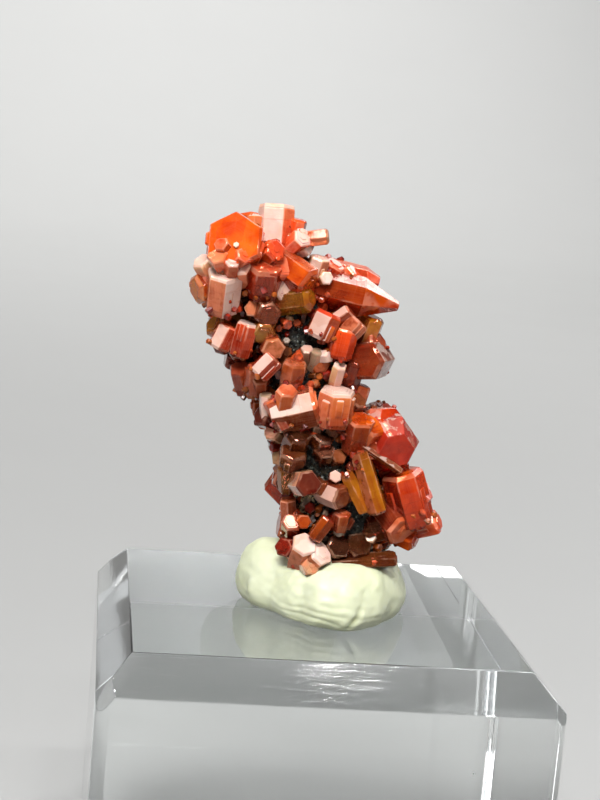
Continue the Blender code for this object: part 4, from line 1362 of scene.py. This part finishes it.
@dataclass
class Scatter:
    """Small shapes set over a surface by Geometry Nodes.

    Spacing, density and sink are in millimetres, tilt is in degrees, and `cover` names the
    value of the surface that thins them out. `stops` are the colours, each with its start.
    """

    name: str
    seed: int
    cover: str
    stops: tuple[tuple[float, Colour], ...]
    spacing: float
    density: float
    smallest: float
    largest: float
    tilt: float
    sink: float = 0.0
    labels: dict[str, str] = field(default_factory=dict)

    def tree(self, material: bpy.types.Material) -> bpy.types.NodeTree:
        """Geometry Nodes that scatter, colour and realize the shapes.

        Args:
            material: Finish of the shapes.

        Returns:
            The node tree.
        """
        tree = bpy.data.node_groups.new(self.name, "GeometryNodeTree")
        kinds = {"Surface": "Geometry", "Shape": "Object", "Seed": "Int"}
        kinds |= dict.fromkeys(("Spacing", "Density", "Smallest", "Largest", "Tilt", "Sink"), "Float")
        for label, kind in kinds.items():
            made = tree.interface.new_socket(name=label, in_out="INPUT", socket_type="NodeSocket" + kind)
            self.labels[label] = made.identifier
        tree.interface.new_socket(name="Pieces", in_out="OUTPUT", socket_type="NodeSocketGeometry")
        board = Board(tree)
        given = board.add("NodeGroupInput").outputs
        cover = board.add("GeometryNodeInputNamedAttribute", data_type="FLOAT", Name=self.cover)
        spots = board.add(
            "GeometryNodeDistributePointsOnFaces",
            distribute_method="POISSON",
            Mesh=given["Surface"],
            Distance_Min=given["Spacing"],
            Density_Max=given["Density"],
            Density_Factor=cover.outputs["Attribute"],
            Seed=given["Seed"],
        ).outputs
        shape = board.add("GeometryNodeObjectInfo", transform_space="ORIGINAL", Object=given["Shape"])
        placed = board.add(
            "GeometryNodeInstanceOnPoints",
            Points=spots["Points"],
            Instance=shape.outputs["Geometry"],
            Rotation=self.turned(board, given, spots["Rotation"]),
            Scale=self.dice(board, given, given["Smallest"], given["Largest"], 3),
        )
        drop = board.add("ShaderNodeCombineXYZ", Z=board.math("MULTIPLY", given["Sink"], -1.0))
        moved = board.add(
            "GeometryNodeTranslateInstances",
            Instances=placed.outputs["Instances"],
            Translation=drop.outputs[0],
        )
        tinted = self.tinted(board, given, moved.outputs["Instances"])
        solid = board.add("GeometryNodeRealizeInstances", Geometry=tinted).outputs["Geometry"]
        finish = board.add("GeometryNodeSetMaterial", Geometry=solid, Material=material)
        board.add("NodeGroupOutput", Pieces=finish.outputs["Geometry"])
        return tree

    def dice(self, board: Board, given: object, low: object, high: object, offset: int) -> Socket:
        """Random number for each shape.

        Args:
            board: Board of the tree.
            given: Outputs of the group input.
            low: Lowest value.
            high: Highest value.
            offset: Added to the seed, so that each use differs.

        Returns:
            The number's socket.
        """
        node = board.add("FunctionNodeRandomValue", data_type="FLOAT")
        board.feed(node.inputs[2], low)
        board.feed(node.inputs[3], high)
        board.wire(node, Seed=board.math("ADD", given["Seed"], float(offset)))
        return node.outputs[1]

    def turned(self, board: Board, given: object, upright: Socket) -> Socket:
        """Rotation off the surface's normal, with a free spin.

        Args:
            board: Board of the tree.
            given: Outputs of the group input.
            upright: Rotation that stands square to the surface.

        Returns:
            The rotation's socket.
        """
        lean = board.math("MULTIPLY", given["Tilt"], -1.0)
        across = [self.dice(board, given, lean, given["Tilt"], offset) for offset in (11, 23)]
        about = self.dice(board, given, 0.0, 6.28, 31)
        angles = board.add("ShaderNodeCombineXYZ", X=across[0], Y=across[1], Z=about)
        spin = board.add("FunctionNodeEulerToRotation")
        board.feed(spin.inputs[0], angles.outputs[0])
        turn = board.add("FunctionNodeRotateRotation", rotation_space="LOCAL")
        board.feed(turn.inputs[0], upright)
        board.feed(turn.inputs[1], spin.outputs[0])
        return turn.outputs[0]

    def tinted(self, board: Board, given: object, shapes: Socket) -> Socket:
        """Store one of the colours on each shape.

        Args:
            board: Board of the tree.
            given: Outputs of the group input.
            shapes: The placed shapes.

        Returns:
            Socket of the coloured shapes.
        """
        ramp = board.add("ShaderNodeValToRGB", Fac=self.dice(board, given, 0.0, 1.0, 47))
        ramp.color_ramp.interpolation = "CONSTANT"
        stops = ramp.color_ramp.elements
        for number, (start, colour) in enumerate(self.stops):
            stop = stops[number] if number < 2 else stops.new(start)
            stop.position = start
            stop.color = (*colour, 1.0)
        store = board.add(
            "GeometryNodeStoreNamedAttribute",
            data_type="FLOAT_COLOR",
            domain="INSTANCE",
            Geometry=shapes,
            Name="tone",
        )
        value = next(s for s in store.inputs if s.name == "Value" and s.enabled)
        board.feed(value, ramp.outputs["Color"])
        return store.outputs["Geometry"]

    def grow(
        self, surface: bpy.types.Object, shape: bpy.types.Object, finish: GrainFinish, finishes: FinishBox
    ) -> bpy.types.Object:
        """Scatter a shape over a surface, bake the result and dress it.

        Args:
            surface: Object whose faces carry the shapes.
            shape: The shape, one millimetre wide and upright.
            finish: Finish of the shapes.
            finishes: The materials made so far.

        Returns:
            A new object with the realized shapes.
        """
        carrier = new_object(self.name, surface.data.copy())
        step = carrier.modifiers.new(self.name, "NODES")
        step.node_group = self.tree(finishes.get(finish))
        values = {
            "Shape": shape,
            "Spacing": self.spacing * MM,
            "Density": self.density / MM**2,
            "Smallest": self.smallest,
            "Largest": self.largest,
            "Tilt": math.radians(self.tilt),
            "Sink": self.sink * MM,
            "Seed": self.seed,
        }
        for label, value in values.items():
            step[self.labels[label]] = value
        graph = bpy.context.evaluated_depsgraph_get()
        mesh = bpy.data.meshes.new_from_object(carrier.evaluated_get(graph))
        mesh.name = self.name
        bpy.data.objects.remove(carrier)
        grown = new_object(self.name, mesh)
        finishes.dress(grown, finish)
        return grown


def prism_seed(name: str, sides: int, height: float, taper: float) -> bpy.types.Object:
    """Small upright prism, one millimetre wide, that a scatter repeats.

    Args:
        name: Name of the shape.
        sides: Number of sides.
        height: Height in widths.
        taper: Share of the width that the end face keeps.

    Returns:
        The shape's object.
    """
    bm = bmesh.new()
    loops = []
    for radius, level in ((0.44, -0.35), (0.5, height - 0.12), (0.5 * taper, height)):
        loop = []
        for k in range(sides):
            angle = 2 * math.pi * k / sides
            place = Vector((math.cos(angle) * radius, math.sin(angle) * radius, level))
            loop.append(bm.verts.new(place * MM))
        loops.append(loop)
    for lower, upper in zip(loops, loops[1:]):
        for i, corner in enumerate(lower):
            j = (i + 1) % sides
            bm.faces.new((corner, lower[j], upper[j], upper[i]))
    bm.faces.new(reversed(loops[0]))
    bm.faces.new(loops[-1])
    return new_object(name, mesh_from(bm, name))


# Start and colour of each share of the scattered shapes
SMALL_TINTS = (
    (0.0, Hue.BROWN.value),
    (0.22, Hue.UMBER.value),
    (0.40, Hue.DEEP.value),
    (0.58, Hue.ROSE.value),
    (0.72, (0.28, 0.040, 0.008)),
    (0.84, Hue.GREY.value),
    (0.96, Hue.CREAM.value),
)
# Mostly dark: the small crystals' own brown and red, and painted shade in the gaps near the roots of the big
# crystals
OVER_TINTS = (
    (0.0, Hue.BROWN.value),
    (0.3, Hue.DEEP.value),
    (0.55, Hue.ROSE.value),
    (0.72, (0.30, 0.022, 0.004)),
    (0.86, Hue.UMBER.value),
    (0.97, Hue.CREAM.value),
)
GRIT_TINTS = ((0.0, (0.006, 0.007, 0.0065)), (0.45, (0.014, 0.016, 0.013)), (0.85, (0.05, 0.055, 0.045)))
SAND_TINTS = ((0.0, (0.50, 0.38, 0.20)), (0.4, (0.66, 0.54, 0.33)), (0.75, (0.34, 0.22, 0.10)))


@dataclass(frozen=True)
class CrystalCluster:
    """Crystals that have grown together, in place of the node of the same stem.
    """

    stem: str
    crystals: tuple[Crystal, ...]
    # Factor on all the colours: painted light above 1, painted shade below
    bright: float = 1.0

    def build(self, finishes: FinishBox) -> list[bpy.types.Object]:
        """Build and dress the cluster.

        Args:
            finishes: The materials made so far.

        Returns:
            The big crystals, and the small ones that have grown over them.
        """
        name = self.stem + "_crystals"
        obj = CrystalMesh(name, self.crystals, self.bright).build()
        needle = prism_seed("small_prism", 6, 0.75, 0.82)
        over = Scatter(
            name + "_small", len(self.crystals) + ord(name[0]), "cover", OVER_TINTS, spacing=0.34,
            density=1.0, smallest=0.2, largest=0.5, tilt=42.0, sink=0.1
        )
        grown = over.grow(obj, needle, SMALL_VANADINITE, finishes)
        bpy.data.objects.remove(needle)
        finishes.dress(obj, *VANADINITE)
        for piece in (obj, grown):
            seat(piece, self.stem + "_cluster")
        return [obj, grown]


@dataclass(frozen=True)
class Spot:
    """A round stretch of the rock's front: place across and up, and reach."""

    x: float
    z: float
    reach: float

    def share(self, point: Vector) -> float:
        """How far a point lies inside the spot, from 0 outside to 1 at its middle."""
        away = math.hypot(point.x - self.x, point.z - self.z) / self.reach
        return 0.0 if point.y > 0 else max(0.0, 1.0 - away * away)


# Places where the dark rock shows bare, and where pale sandy grains sit on it
BARE_SPOTS = (Spot(-1.9, 39.0, 1.4), Spot(-0.9, 30.9, 2.4), Spot(2.4, 27.0, 1.8), Spot(4.0, 40.3, 1.2))
SANDY_SPOTS = (Spot(-1.9, 28.6, 1.3), Spot(-1.2, 27.4, 0.9))


@dataclass(frozen=True)
class Rock:
    """The dark core that carries the crystals, with what sits loosely on it."""

    node: str = "matrix"
    slot: str = "matrix"
    sides: int = 104
    step: float = 0.2
    lump_sides: int = 13
    lump_seed: int = 3
    lumpiness: float = 0.096
    lift: float = 0.25
    relief: float = 0.34
    knobs: float = 0.9
    fine_knobs: float = 3.1
    bare_share: float = 2.2
    sandy_share: float = 1.6
    # Factor on the colours of the single crystals: painted shade low on the rock
    single_bright: float = 0.60

    def lumps(self) -> list[list[tuple[float, float]]]:
        """Swell and lift of each coarse corner of the core.

        Returns:
            One row for each ring of the table.
        """
        dice = random.Random(self.lump_seed)
        table = []
        for _ in CORE_RINGS:
            row = []
            for _ in range(self.lump_sides):
                swell = 1.0 + dice.uniform(-self.lumpiness, self.lumpiness)
                row.append((swell, dice.uniform(-self.lift, self.lift)))
            table.append(row)
        return table

    def corner(self, table: list[list[tuple[float, float]]], row: int, share: float) -> Vector:
        """Place on one ring of the table.

        Args:
            table: Swells and lifts.
            row: Ring number.
            share: Share of the way round.

        Returns:
            The place in millimetres.
        """
        height, x, y, wide, deep = CORE_RINGS[row]
        at = share * self.lump_sides
        first = int(at) % self.lump_sides
        second = (first + 1) % self.lump_sides
        swell, lift = (a + (b - a) * (at - int(at)) for a, b in zip(table[row][first], table[row][second]))
        angle = 2 * math.pi * share
        across, depth = wide * swell * math.cos(angle), deep * swell * math.sin(angle)
        return Vector((x + across, y + depth, height + lift))

    def rings(self) -> list[list[Vector]]:
        """Smooth rings from the foot to the top.

        Returns:
            The corners of each ring.
        """
        table = self.lumps()
        found = []
        for row, (lower, upper) in enumerate(zip(CORE_RINGS, CORE_RINGS[1:])):
            count = max(2, round((upper[0] - lower[0]) / self.step))
            last = row == len(CORE_RINGS) - 2
            for k in range(count + last):
                ring = []
                for i in range(self.sides):
                    low = self.corner(table, row, i / self.sides)
                    ring.append(low.lerp(self.corner(table, row + 1, i / self.sides), k / count))
                found.append(ring)
        return found

    def build_core(self) -> bpy.types.Object:
        """Core with a knobbly skin, and with the cover of its scatters.

        Returns:
            The core's object.
        """
        points = []
        for ring in self.rings():
            centre = sum(ring, Vector()) / len(ring)
            for point in ring:
                out = (point - centre).normalized()
                knobs = noise.fractal(point * self.knobs, 1.0, 2.1, 4)
                knobs += 0.5 * noise.noise(point * self.fine_knobs)
                points.append(point + out * (knobs * self.relief))
        mesh = lofted("rock_core", points, self.sides)
        bare = [max(s.share(p) for s in BARE_SPOTS) for p in points]
        sandy = [min(1.0, self.sandy_share * max(s.share(p) for s in SANDY_SPOTS)) for p in points]
        add_values(mesh, "small", [max(0.0, 1.0 - self.bare_share * b) for b in bare])
        add_values(mesh, "grit", [1.0 - s for s in sandy])
        add_values(mesh, "sand", sandy)
        smooth_between(mesh, 60)
        return new_object("rock_core", mesh)

    def build(self, finishes: FinishBox) -> list[bpy.types.Object]:
        """Core, single crystals, grit, sand and small crystals.

        Args:
            finishes: The materials made so far.

        Returns:
            The objects.
        """
        core = self.build_core()
        pebble = prism_seed("pebble", 5, 0.55, 0.5)
        needle = prism_seed("small_prism", 6, 0.9, 0.8)
        grit = Scatter(
            "rock_grit", 7, "grit", GRIT_TINTS, spacing=0.15, density=20.0, smallest=0.10, largest=0.28,
            tilt=60.0
        )
        sand = Scatter(
            "rock_sand", 9, "sand", SAND_TINTS, spacing=0.10, density=40.0, smallest=0.10, largest=0.22,
            tilt=70.0
        )
        small = Scatter(
            "small_crystals", 12, "small", SMALL_TINTS, spacing=0.42, density=3.2, smallest=0.32,
            largest=0.95, tilt=38.0, sink=0.05
        )
        loose = [
            grit.grow(core, pebble, BLACK_GRIT, finishes),
            sand.grow(core, pebble, SANDY_GRAINS, finishes),
            small.grow(core, needle, SMALL_VANADINITE, finishes),
        ]
        for shape in (pebble, needle):
            bpy.data.objects.remove(shape)
        finishes.dress(core, RockFinish())
        single = CrystalMesh("single_crystals", LOOSE, self.single_bright).build()
        finishes.dress(single, *VANADINITE)
        seat(core, self.node)
        for obj in (single, *loose):
            seat(obj)
        return [core, single, *loose]


@dataclass(frozen=True)
class TackLump:
    """Squashed lump of tack that holds the specimen up."""

    node: str = "mineral_tack"
    slot: str = "tack"
    centre: tuple[float, float] = (0.5, -0.3)
    base: float = 20.02
    height: float = 4.3
    sides: int = 240
    rows: int = 64

    # Bearing, and reach from the centre
    outline: ClassVar[tuple[tuple[float, float], ...]] = (
        (-180, 5.0),
        (-140, 5.4),
        (-105, 5.9),
        (-80, 5.3),
        (-55, 4.5),
        (-25, 5.0),
        (-8, 5.9),
        (10, 6.6),
        (28, 6.1),
        (50, 5.6),
        (75, 5.6),
        (100, 6.0),
        (140, 5.5),
        (180, 5.0),
    )

    # Share of the reach, share of the height
    profile: ClassVar[tuple[tuple[float, float], ...]] = (
        (0.90, 0.0),
        (0.98, 0.05),
        (1.03, 0.17),
        (1.04, 0.32),
        (1.00, 0.52),
        (0.92, 0.73),
        (0.77, 0.89),
        (0.46, 0.98),
        (0.10, 1.0),
    )

    # Thumbed bumps and dents: x, y, spread and lift
    bumps: ClassVar[tuple[tuple[float, ...], ...]] = (
        (-4.8, 0.8, 2.0, 0.8),
        (5.4, 1.2, 2.6, 0.1),
        (-1.2, -3.8, 1.6, -0.5),
        (2.8, -4.4, 1.8, 0.1),
    )

    # Soft and fine unevenness: depth and features per millimetre, and how strongly painted shade darkens the
    # deep creases
    soft: ClassVar[tuple[float, float]] = (0.16, 0.42)
    fine: ClassVar[tuple[float, float]] = (0.03, 2.6)
    darkening: float = 4.0

    # Pressed lines along the section: their closeness, slant and sway
    ridges: ClassVar[tuple[float, float, float]] = (62.0, 0.07, 4.0)

    # Pressed lines and the fold: middle and half width along the section and round it, and depth
    pressed_along: ClassVar[tuple[float, float]] = (0.30, 0.17)
    pressed_round: ClassVar[tuple[float, float]] = (-8.0, 34.0)
    pressed_deep: float = 0.07
    fold_along: ClassVar[tuple[float, float]] = (0.30, 0.16)
    fold_bearing: float = 14.0
    fold_slant: float = 26.0
    fold_width: float = 2.2
    fold_deep: float = 0.22

    def reach(self, bearing: float) -> float:
        """Reach of the footprint, eased between the rows of the outline.

        Args:
            bearing: Bearing from the lump's centre.

        Returns:
            Distance from the centre in millimetres.
        """
        for (first, start), (last, stop) in zip(self.outline, self.outline[1:]):
            if bearing <= last:
                t = (bearing - first) / (last - first)
                return start + (stop - start) * t * t * (3 - 2 * t)
        return self.outline[-1][1]

    def section(self, share: float) -> tuple[float, float]:
        """Place on the section, from the contact to the crest.

        Args:
            share: Share of the way along it.

        Returns:
            Share of the reach and share of the height.
        """
        at = share * (len(self.profile) - 1)
        row = min(int(at), len(self.profile) - 2)
        t = at - row
        rows = [self.profile[min(max(k, 0), len(self.profile) - 1)] for k in range(row - 1, row + 3)]
        found = []
        for a, b, c, d in zip(*rows):
            found.append(b + 0.5 * t * (c - a + t * (2 * a - 5 * b + 4 * c - d + t * (3 * (b - c) + d - a))))
        return found[0], max(0.0, found[1])

    def lift(self, x: float, y: float) -> float:
        """Rise or dip of the skin at a place.

        Args:
            x: Place across, in millimetres.
            y: Place in depth, in millimetres.

        Returns:
            Height added, in millimetres.
        """
        total = 0.0
        for bump_x, bump_y, spread, height in self.bumps:
            total += height * math.exp(-((x - bump_x) ** 2 + (y - bump_y) ** 2) / spread**2)
        return total

    def creases(self, bearing: float, share: float) -> float:
        """Depth of pressed lines and of the fold on the flank.

        Args:
            bearing: Bearing from the lump's centre.
            share: Share of the way along the section.

        Returns:
            Inward depth in millimetres.
        """
        sway = noise.noise(Vector((bearing * 0.05, share * 5.0, 4.0)))
        close, slant, swing = self.ridges
        ridges = math.sin(share * close + bearing * slant + swing * sway) * 0.5 + 0.5
        flank = bell(share, *self.pressed_along)
        pressed = self.pressed_deep * ridges**2 * flank * bell(bearing, *self.pressed_round)
        middle = self.fold_bearing + self.fold_slant * (share - 0.35)
        fold = bell(bearing, middle, self.fold_width) * bell(share, *self.fold_along)
        return pressed + self.fold_deep * fold

    def corner(self, bearing: float, share: float) -> tuple[Vector, float]:
        """Place on the skin, and how deep it lies in a crease.

        Args:
            bearing: Bearing from the lump's centre.
            share: Share of the way along the section.

        Returns:
            The place and the depth, in millimetres.
        """
        out, up = self.section(share)
        angle = math.radians(bearing)
        reach = self.reach(bearing) * out
        x = self.centre[0] + reach * math.sin(angle)
        y = self.centre[1] - reach * math.cos(angle)
        point = Vector((x, y, self.base + up * (self.height + self.lift(x, y))))
        deep = self.creases(bearing, share)
        soft = self.soft[0] * noise.fractal(point * self.soft[1], 1.0, 2.0, 3)
        soft += self.fine[0] * noise.noise(point * self.fine[1])
        point += Vector((-math.sin(angle), math.cos(angle), 0.0)) * (deep - soft * (0.2 + 0.8 * out))
        point.z += soft * up
        return point, deep

    def build(self, finishes: FinishBox) -> bpy.types.Object:
        """Build and dress the lump.

        Args:
            finishes: The materials made so far.

        Returns:
            The lump's object.
        """
        points, hollow = [], []
        for k in range(self.rows):
            for i in range(self.sides):
                point, deep = self.corner(360 * i / self.sides - 180, k / (self.rows - 1))
                points.append(point)
                # Painted shade, stronger in deeper creases
                hollow.append(min(1.0, deep * self.darkening))
        mesh = lofted("tack_lump", points, self.sides)
        add_values(mesh, "hollow", hollow)
        smooth_between(mesh, 50)
        obj = new_object("tack_lump", mesh)
        finishes.dress(obj, TackFinish())
        seat(obj, self.node)
        return obj


@dataclass(frozen=True)
class AcrylicBlock:
    """Clear display block with a wide bevel and clipped top corners."""

    node: str = "acrylic_block"
    slot: str = "acrylic"
    side: float = 30.0
    height: float = 20.0
    inset: float = 2.1
    drop: float = 2.3
    rounding: float = 0.9
    clip_slope: float = 0.7
    soft: float = 0.07
    sharp: float = 25.0
    widest_soft: float = 12.0
    slope_from: float = 0.3
    slope_to: float = 0.95

    # Depth of the clip at each corner
    clips: ClassVar[dict[tuple[int, int], float]] = {(-1, -1): 1.2, (1, -1): 0.9, (1, 1): 0.9, (-1, 1): 1.1}

    def cut(self, bm: bmesh.types.BMesh, point: Place, normal: Vector) -> None:
        """Slice off what lies beyond a plane and close the cut.

        Args:
            bm: The edited mesh.
            point: A point of the plane.
            normal: Direction of what is cut off.
        """
        geometry = bm.verts[:] + bm.edges[:] + bm.faces[:]
        bmesh.ops.bisect_plane(bm, geom=geometry, plane_co=point, plane_no=normal, clear_outer=True)
        bmesh.ops.holes_fill(bm, edges=[e for e in bm.edges if e.is_boundary])

    def form(self) -> bmesh.types.BMesh:
        """Block with rounded uprights, bevelled and clipped top and softened edges.

        Returns:
            The edited mesh.
        """
        half, height = self.side / 2 * MM, self.height * MM
        shoulder = height - self.drop * MM
        bm = bmesh.new()
        bmesh.ops.create_cube(bm, size=1.0, matrix=Matrix.Diagonal((2 * half, 2 * half, height, 1.0)))
        bmesh.ops.translate(bm, verts=bm.verts, vec=(0, 0, height / 2))
        uprights = [e for e in bm.edges if abs(e.verts[0].co.z - e.verts[1].co.z) > half / 2]
        bmesh.ops.bevel(
            bm, geom=uprights, offset=self.rounding * MM, segments=8, profile=0.5, affect="EDGES"
        )
        for x, y in ((1, 0), (-1, 0), (0, 1), (0, -1)):
            normal = Vector((x * self.drop, y * self.drop, self.inset)).normalized()
            self.cut(bm, (x * half, y * half, shoulder), normal)
        for (x, y), depth in self.clips.items():
            normal = Vector((x, y, self.clip_slope)).normalized()
            self.cut(bm, (x * half, y * (half - depth * MM), shoulder), normal)
        limit = math.radians(self.sharp)
        edges = [e for e in bm.edges if e.is_manifold and e.calc_face_angle() > limit]
        shape = {"segments": 2, "profile": 0.5, "affect": "EDGES", "clamp_overlap": True}
        bmesh.ops.bevel(bm, geom=edges, offset=self.soft * MM, **shape)
        return bm

    def build(self, finishes: FinishBox) -> bpy.types.Object:
        """Build and dress the block, its bevels less polished and its large faces flat.

        Args:
            finishes: The materials made so far.

        Returns:
            The block's object.
        """
        mesh = mesh_from(self.form(), "clear_block")
        slopes = [int(self.slope_from < p.normal.z < self.slope_to) for p in mesh.polygons]
        mesh.polygons.foreach_set("material_index", slopes)
        smooth_between(mesh, 20)
        narrow = [p.area < self.widest_soft * MM**2 for p in mesh.polygons]
        mesh.polygons.foreach_set("use_smooth", narrow)
        obj = new_object("clear_block", mesh)
        finishes.dress(obj, POLISHED, BEVELLED)
        seat(obj, self.node)
        return obj


@dataclass(frozen=True)
class Softbox:
    """Square lamp that hangs on a bearing from the point that it shines at, in metres."""

    name: str
    turn: float
    rise: float
    away: float
    size: float
    power: float
    spread: float
    aim: Place = (-0.001, 0.0, 0.036)

    def place(self) -> None:
        """Put the lamp in the scene."""
        light = bpy.data.lights.new(self.name, "AREA")
        light.shape = "SQUARE"
        light.size = self.size
        light.energy = self.power
        light.spread = math.radians(self.spread)
        lamp = bpy.data.objects.new(self.name, light)
        direction = deg_vector(self.turn, self.rise)
        lamp.location = Vector(self.aim) + direction * self.away
        lamp.rotation_euler = direction.to_track_quat("Z", "Y").to_euler()
        bpy.context.scene.collection.objects.link(lamp)


# Name, bearing, rise, distance, width, power and spread
LAMPS = (
    Softbox("key_box", -16, 50, 0.45, 0.16, 1.42, 120),
    Softbox("top_box", 10, 86, 0.5, 0.36, 0.36, 120),
    Softbox("left_box", -80, 20, 0.5, 0.25, 0.2, 110),
    Softbox("rim_box", 140, 35, 0.5, 0.30, 0.4, 110),
    Softbox("left_glint", -34, 44, 0.45, 0.03, 0.20, 140),
    Softbox("high_glint", -62, 62, 0.45, 0.03, 0.16, 140),
    Softbox("right_glint", 24, 66, 0.45, 0.03, 0.20, 140),
    Softbox("front_glint", 4, 34, 0.45, 0.025, 0.10, 140),
    Softbox("side_glint", 66, 46, 0.45, 0.03, 0.16, 140),
    Softbox("low_glint", 44, 26, 0.45, 0.025, 0.10, 140),
    Softbox("back_box", 0, 62, 0.6, 0.70, 5.2, 100, aim=(0.0, 0.72, 0.1)),
)


@dataclass(frozen=True)
class Studio:
    """Camera, lamps, pale surroundings and floor."""

    eye: Place = (-16.78, -116.01, 53.32)
    right: Place = (0.98996, -0.11053, 0.08807)
    up: Place = (-0.06875, 0.16781, 0.98342)
    lens: float = 77.0
    sensor: float = 36.0
    sky: tuple[float, ...] = (0.96, 0.98, 1.0, 1.0)
    ambient: float = 0.08
    front: float = 0.03
    seen: float = 0.62
    card_place: tuple[float, float] = (-8.0, 8.0)
    card_edge: float = 0.55
    card_middle: float = 0.88
    floor_reach: float = 0.9
    floor_top: float = 1.2
    sweep: float = 0.35
    sweep_steps: int = 24
    gap: float = 0.05

    def place_camera(self) -> None:
        """Camera at the height and angle of the photographer."""
        data = bpy.data.cameras.new("studio_camera")
        data.lens = self.lens
        data.sensor_width = self.sensor
        data.clip_start = 0.005
        camera = bpy.data.objects.new("studio_camera", data)
        right, up = Vector(self.right), Vector(self.up)
        matrix = Matrix((right, up, right.cross(up))).transposed().to_4x4()
        matrix.translation = Vector(self.eye) * MM
        camera.matrix_world = matrix
        bpy.context.scene.collection.objects.link(camera)
        bpy.context.scene.camera = camera

    def place_world(self) -> None:
        """Pale surroundings, with a dark card where the photographer stands."""
        world = bpy.data.worlds.new("pale_surroundings")
        world.use_nodes = True
        board = Board(world.node_tree)
        place = board.add("ShaderNodeTexCoord").outputs["Generated"]
        facing = board.vector("DOT_PRODUCT", place, deg_vector(*self.card_place))
        card = board.spread(facing, self.card_edge, self.card_middle, self.ambient, self.front)
        rays = board.add("ShaderNodeLightPath").outputs
        pale = board.math("MAXIMUM", rays["Is Camera Ray"], rays["Is Transmission Ray"])
        left = board.math("MULTIPLY", board.math("SUBTRACT", 1.0, pale), card)
        strength = board.math("MULTIPLY_ADD", pale, self.seen, left)
        board.wire(world.node_tree.nodes["Background"], Color=self.sky, Strength=strength)
        bpy.context.scene.world = world

    def build_floor(self, finishes: FinishBox) -> None:
        """Floor that sweeps up behind the specimen, just under the block.

        Args:
            finishes: The materials made so far.
        """
        reach, bend = self.floor_reach, self.sweep
        line = [(-reach, 0.0), (reach - bend, 0.0)]
        for k in range(1, self.sweep_steps + 1):
            angle = math.pi / 2 * k / self.sweep_steps
            line.append((reach - bend + bend * math.sin(angle), bend * (1 - math.cos(angle))))
        line.append((reach, self.floor_top))
        bm = bmesh.new()
        rows = [[bm.verts.new((x, y, z - self.gap * MM)) for x in (-reach, reach)] for y, z in line]
        for (a, b), (d, c) in zip(rows, rows[1:]):
            bm.faces.new((a, b, c, d))
        mesh = mesh_from(bm, "studio_floor")
        smooth_between(mesh, 60)
        floor = new_object("studio_floor", mesh)
        finishes.dress(floor, FloorFinish())

    def build(self, finishes: FinishBox) -> None:
        """Set up the camera, the surroundings, the floor and the lamps.

        Args:
            finishes: The materials made so far.
        """
        self.place_camera()
        self.place_world()
        self.build_floor(finishes)
        for lamp in LAMPS:
            lamp.place()


# The last number raises the colours of the high clusters as painted light and lowers those of the foot as
# painted shade
CLUSTERS = (
    CrystalCluster("crown", CROWN, 1.15),
    CrystalCluster("blade", BLADE, 1.15),
    CrystalCluster("flank", FLANK, 1.2),
    CrystalCluster("waist", WAIST),
    CrystalCluster("girdle", GIRDLE),
    CrystalCluster("shoulder", SHOULDER),
    CrystalCluster("foot", FOOT, 0.66),
    CrystalCluster("back_upper", patch_crystals(BACK_UPPER)),
    CrystalCluster("back_lower", patch_crystals(BACK_LOWER)),
)


def main() -> None:
    """Build and dress the specimen, its tack and its block, and light them."""
    logging.basicConfig(level=logging.INFO, format="%(message)s")
    bpy.context.scene.view_settings.view_transform = "Standard"
    finishes = FinishBox()
    Studio().build(finishes)
    made = [AcrylicBlock().build(finishes), TackLump().build(finishes)]
    made += Rock().build(finishes)
    for cluster in CLUSTERS:
        made += cluster.build(finishes)
    for obj in made:
        LOG.info("%s: %d faces", obj.name, len(obj.data.polygons))


if __name__ == "__main__":
    main()
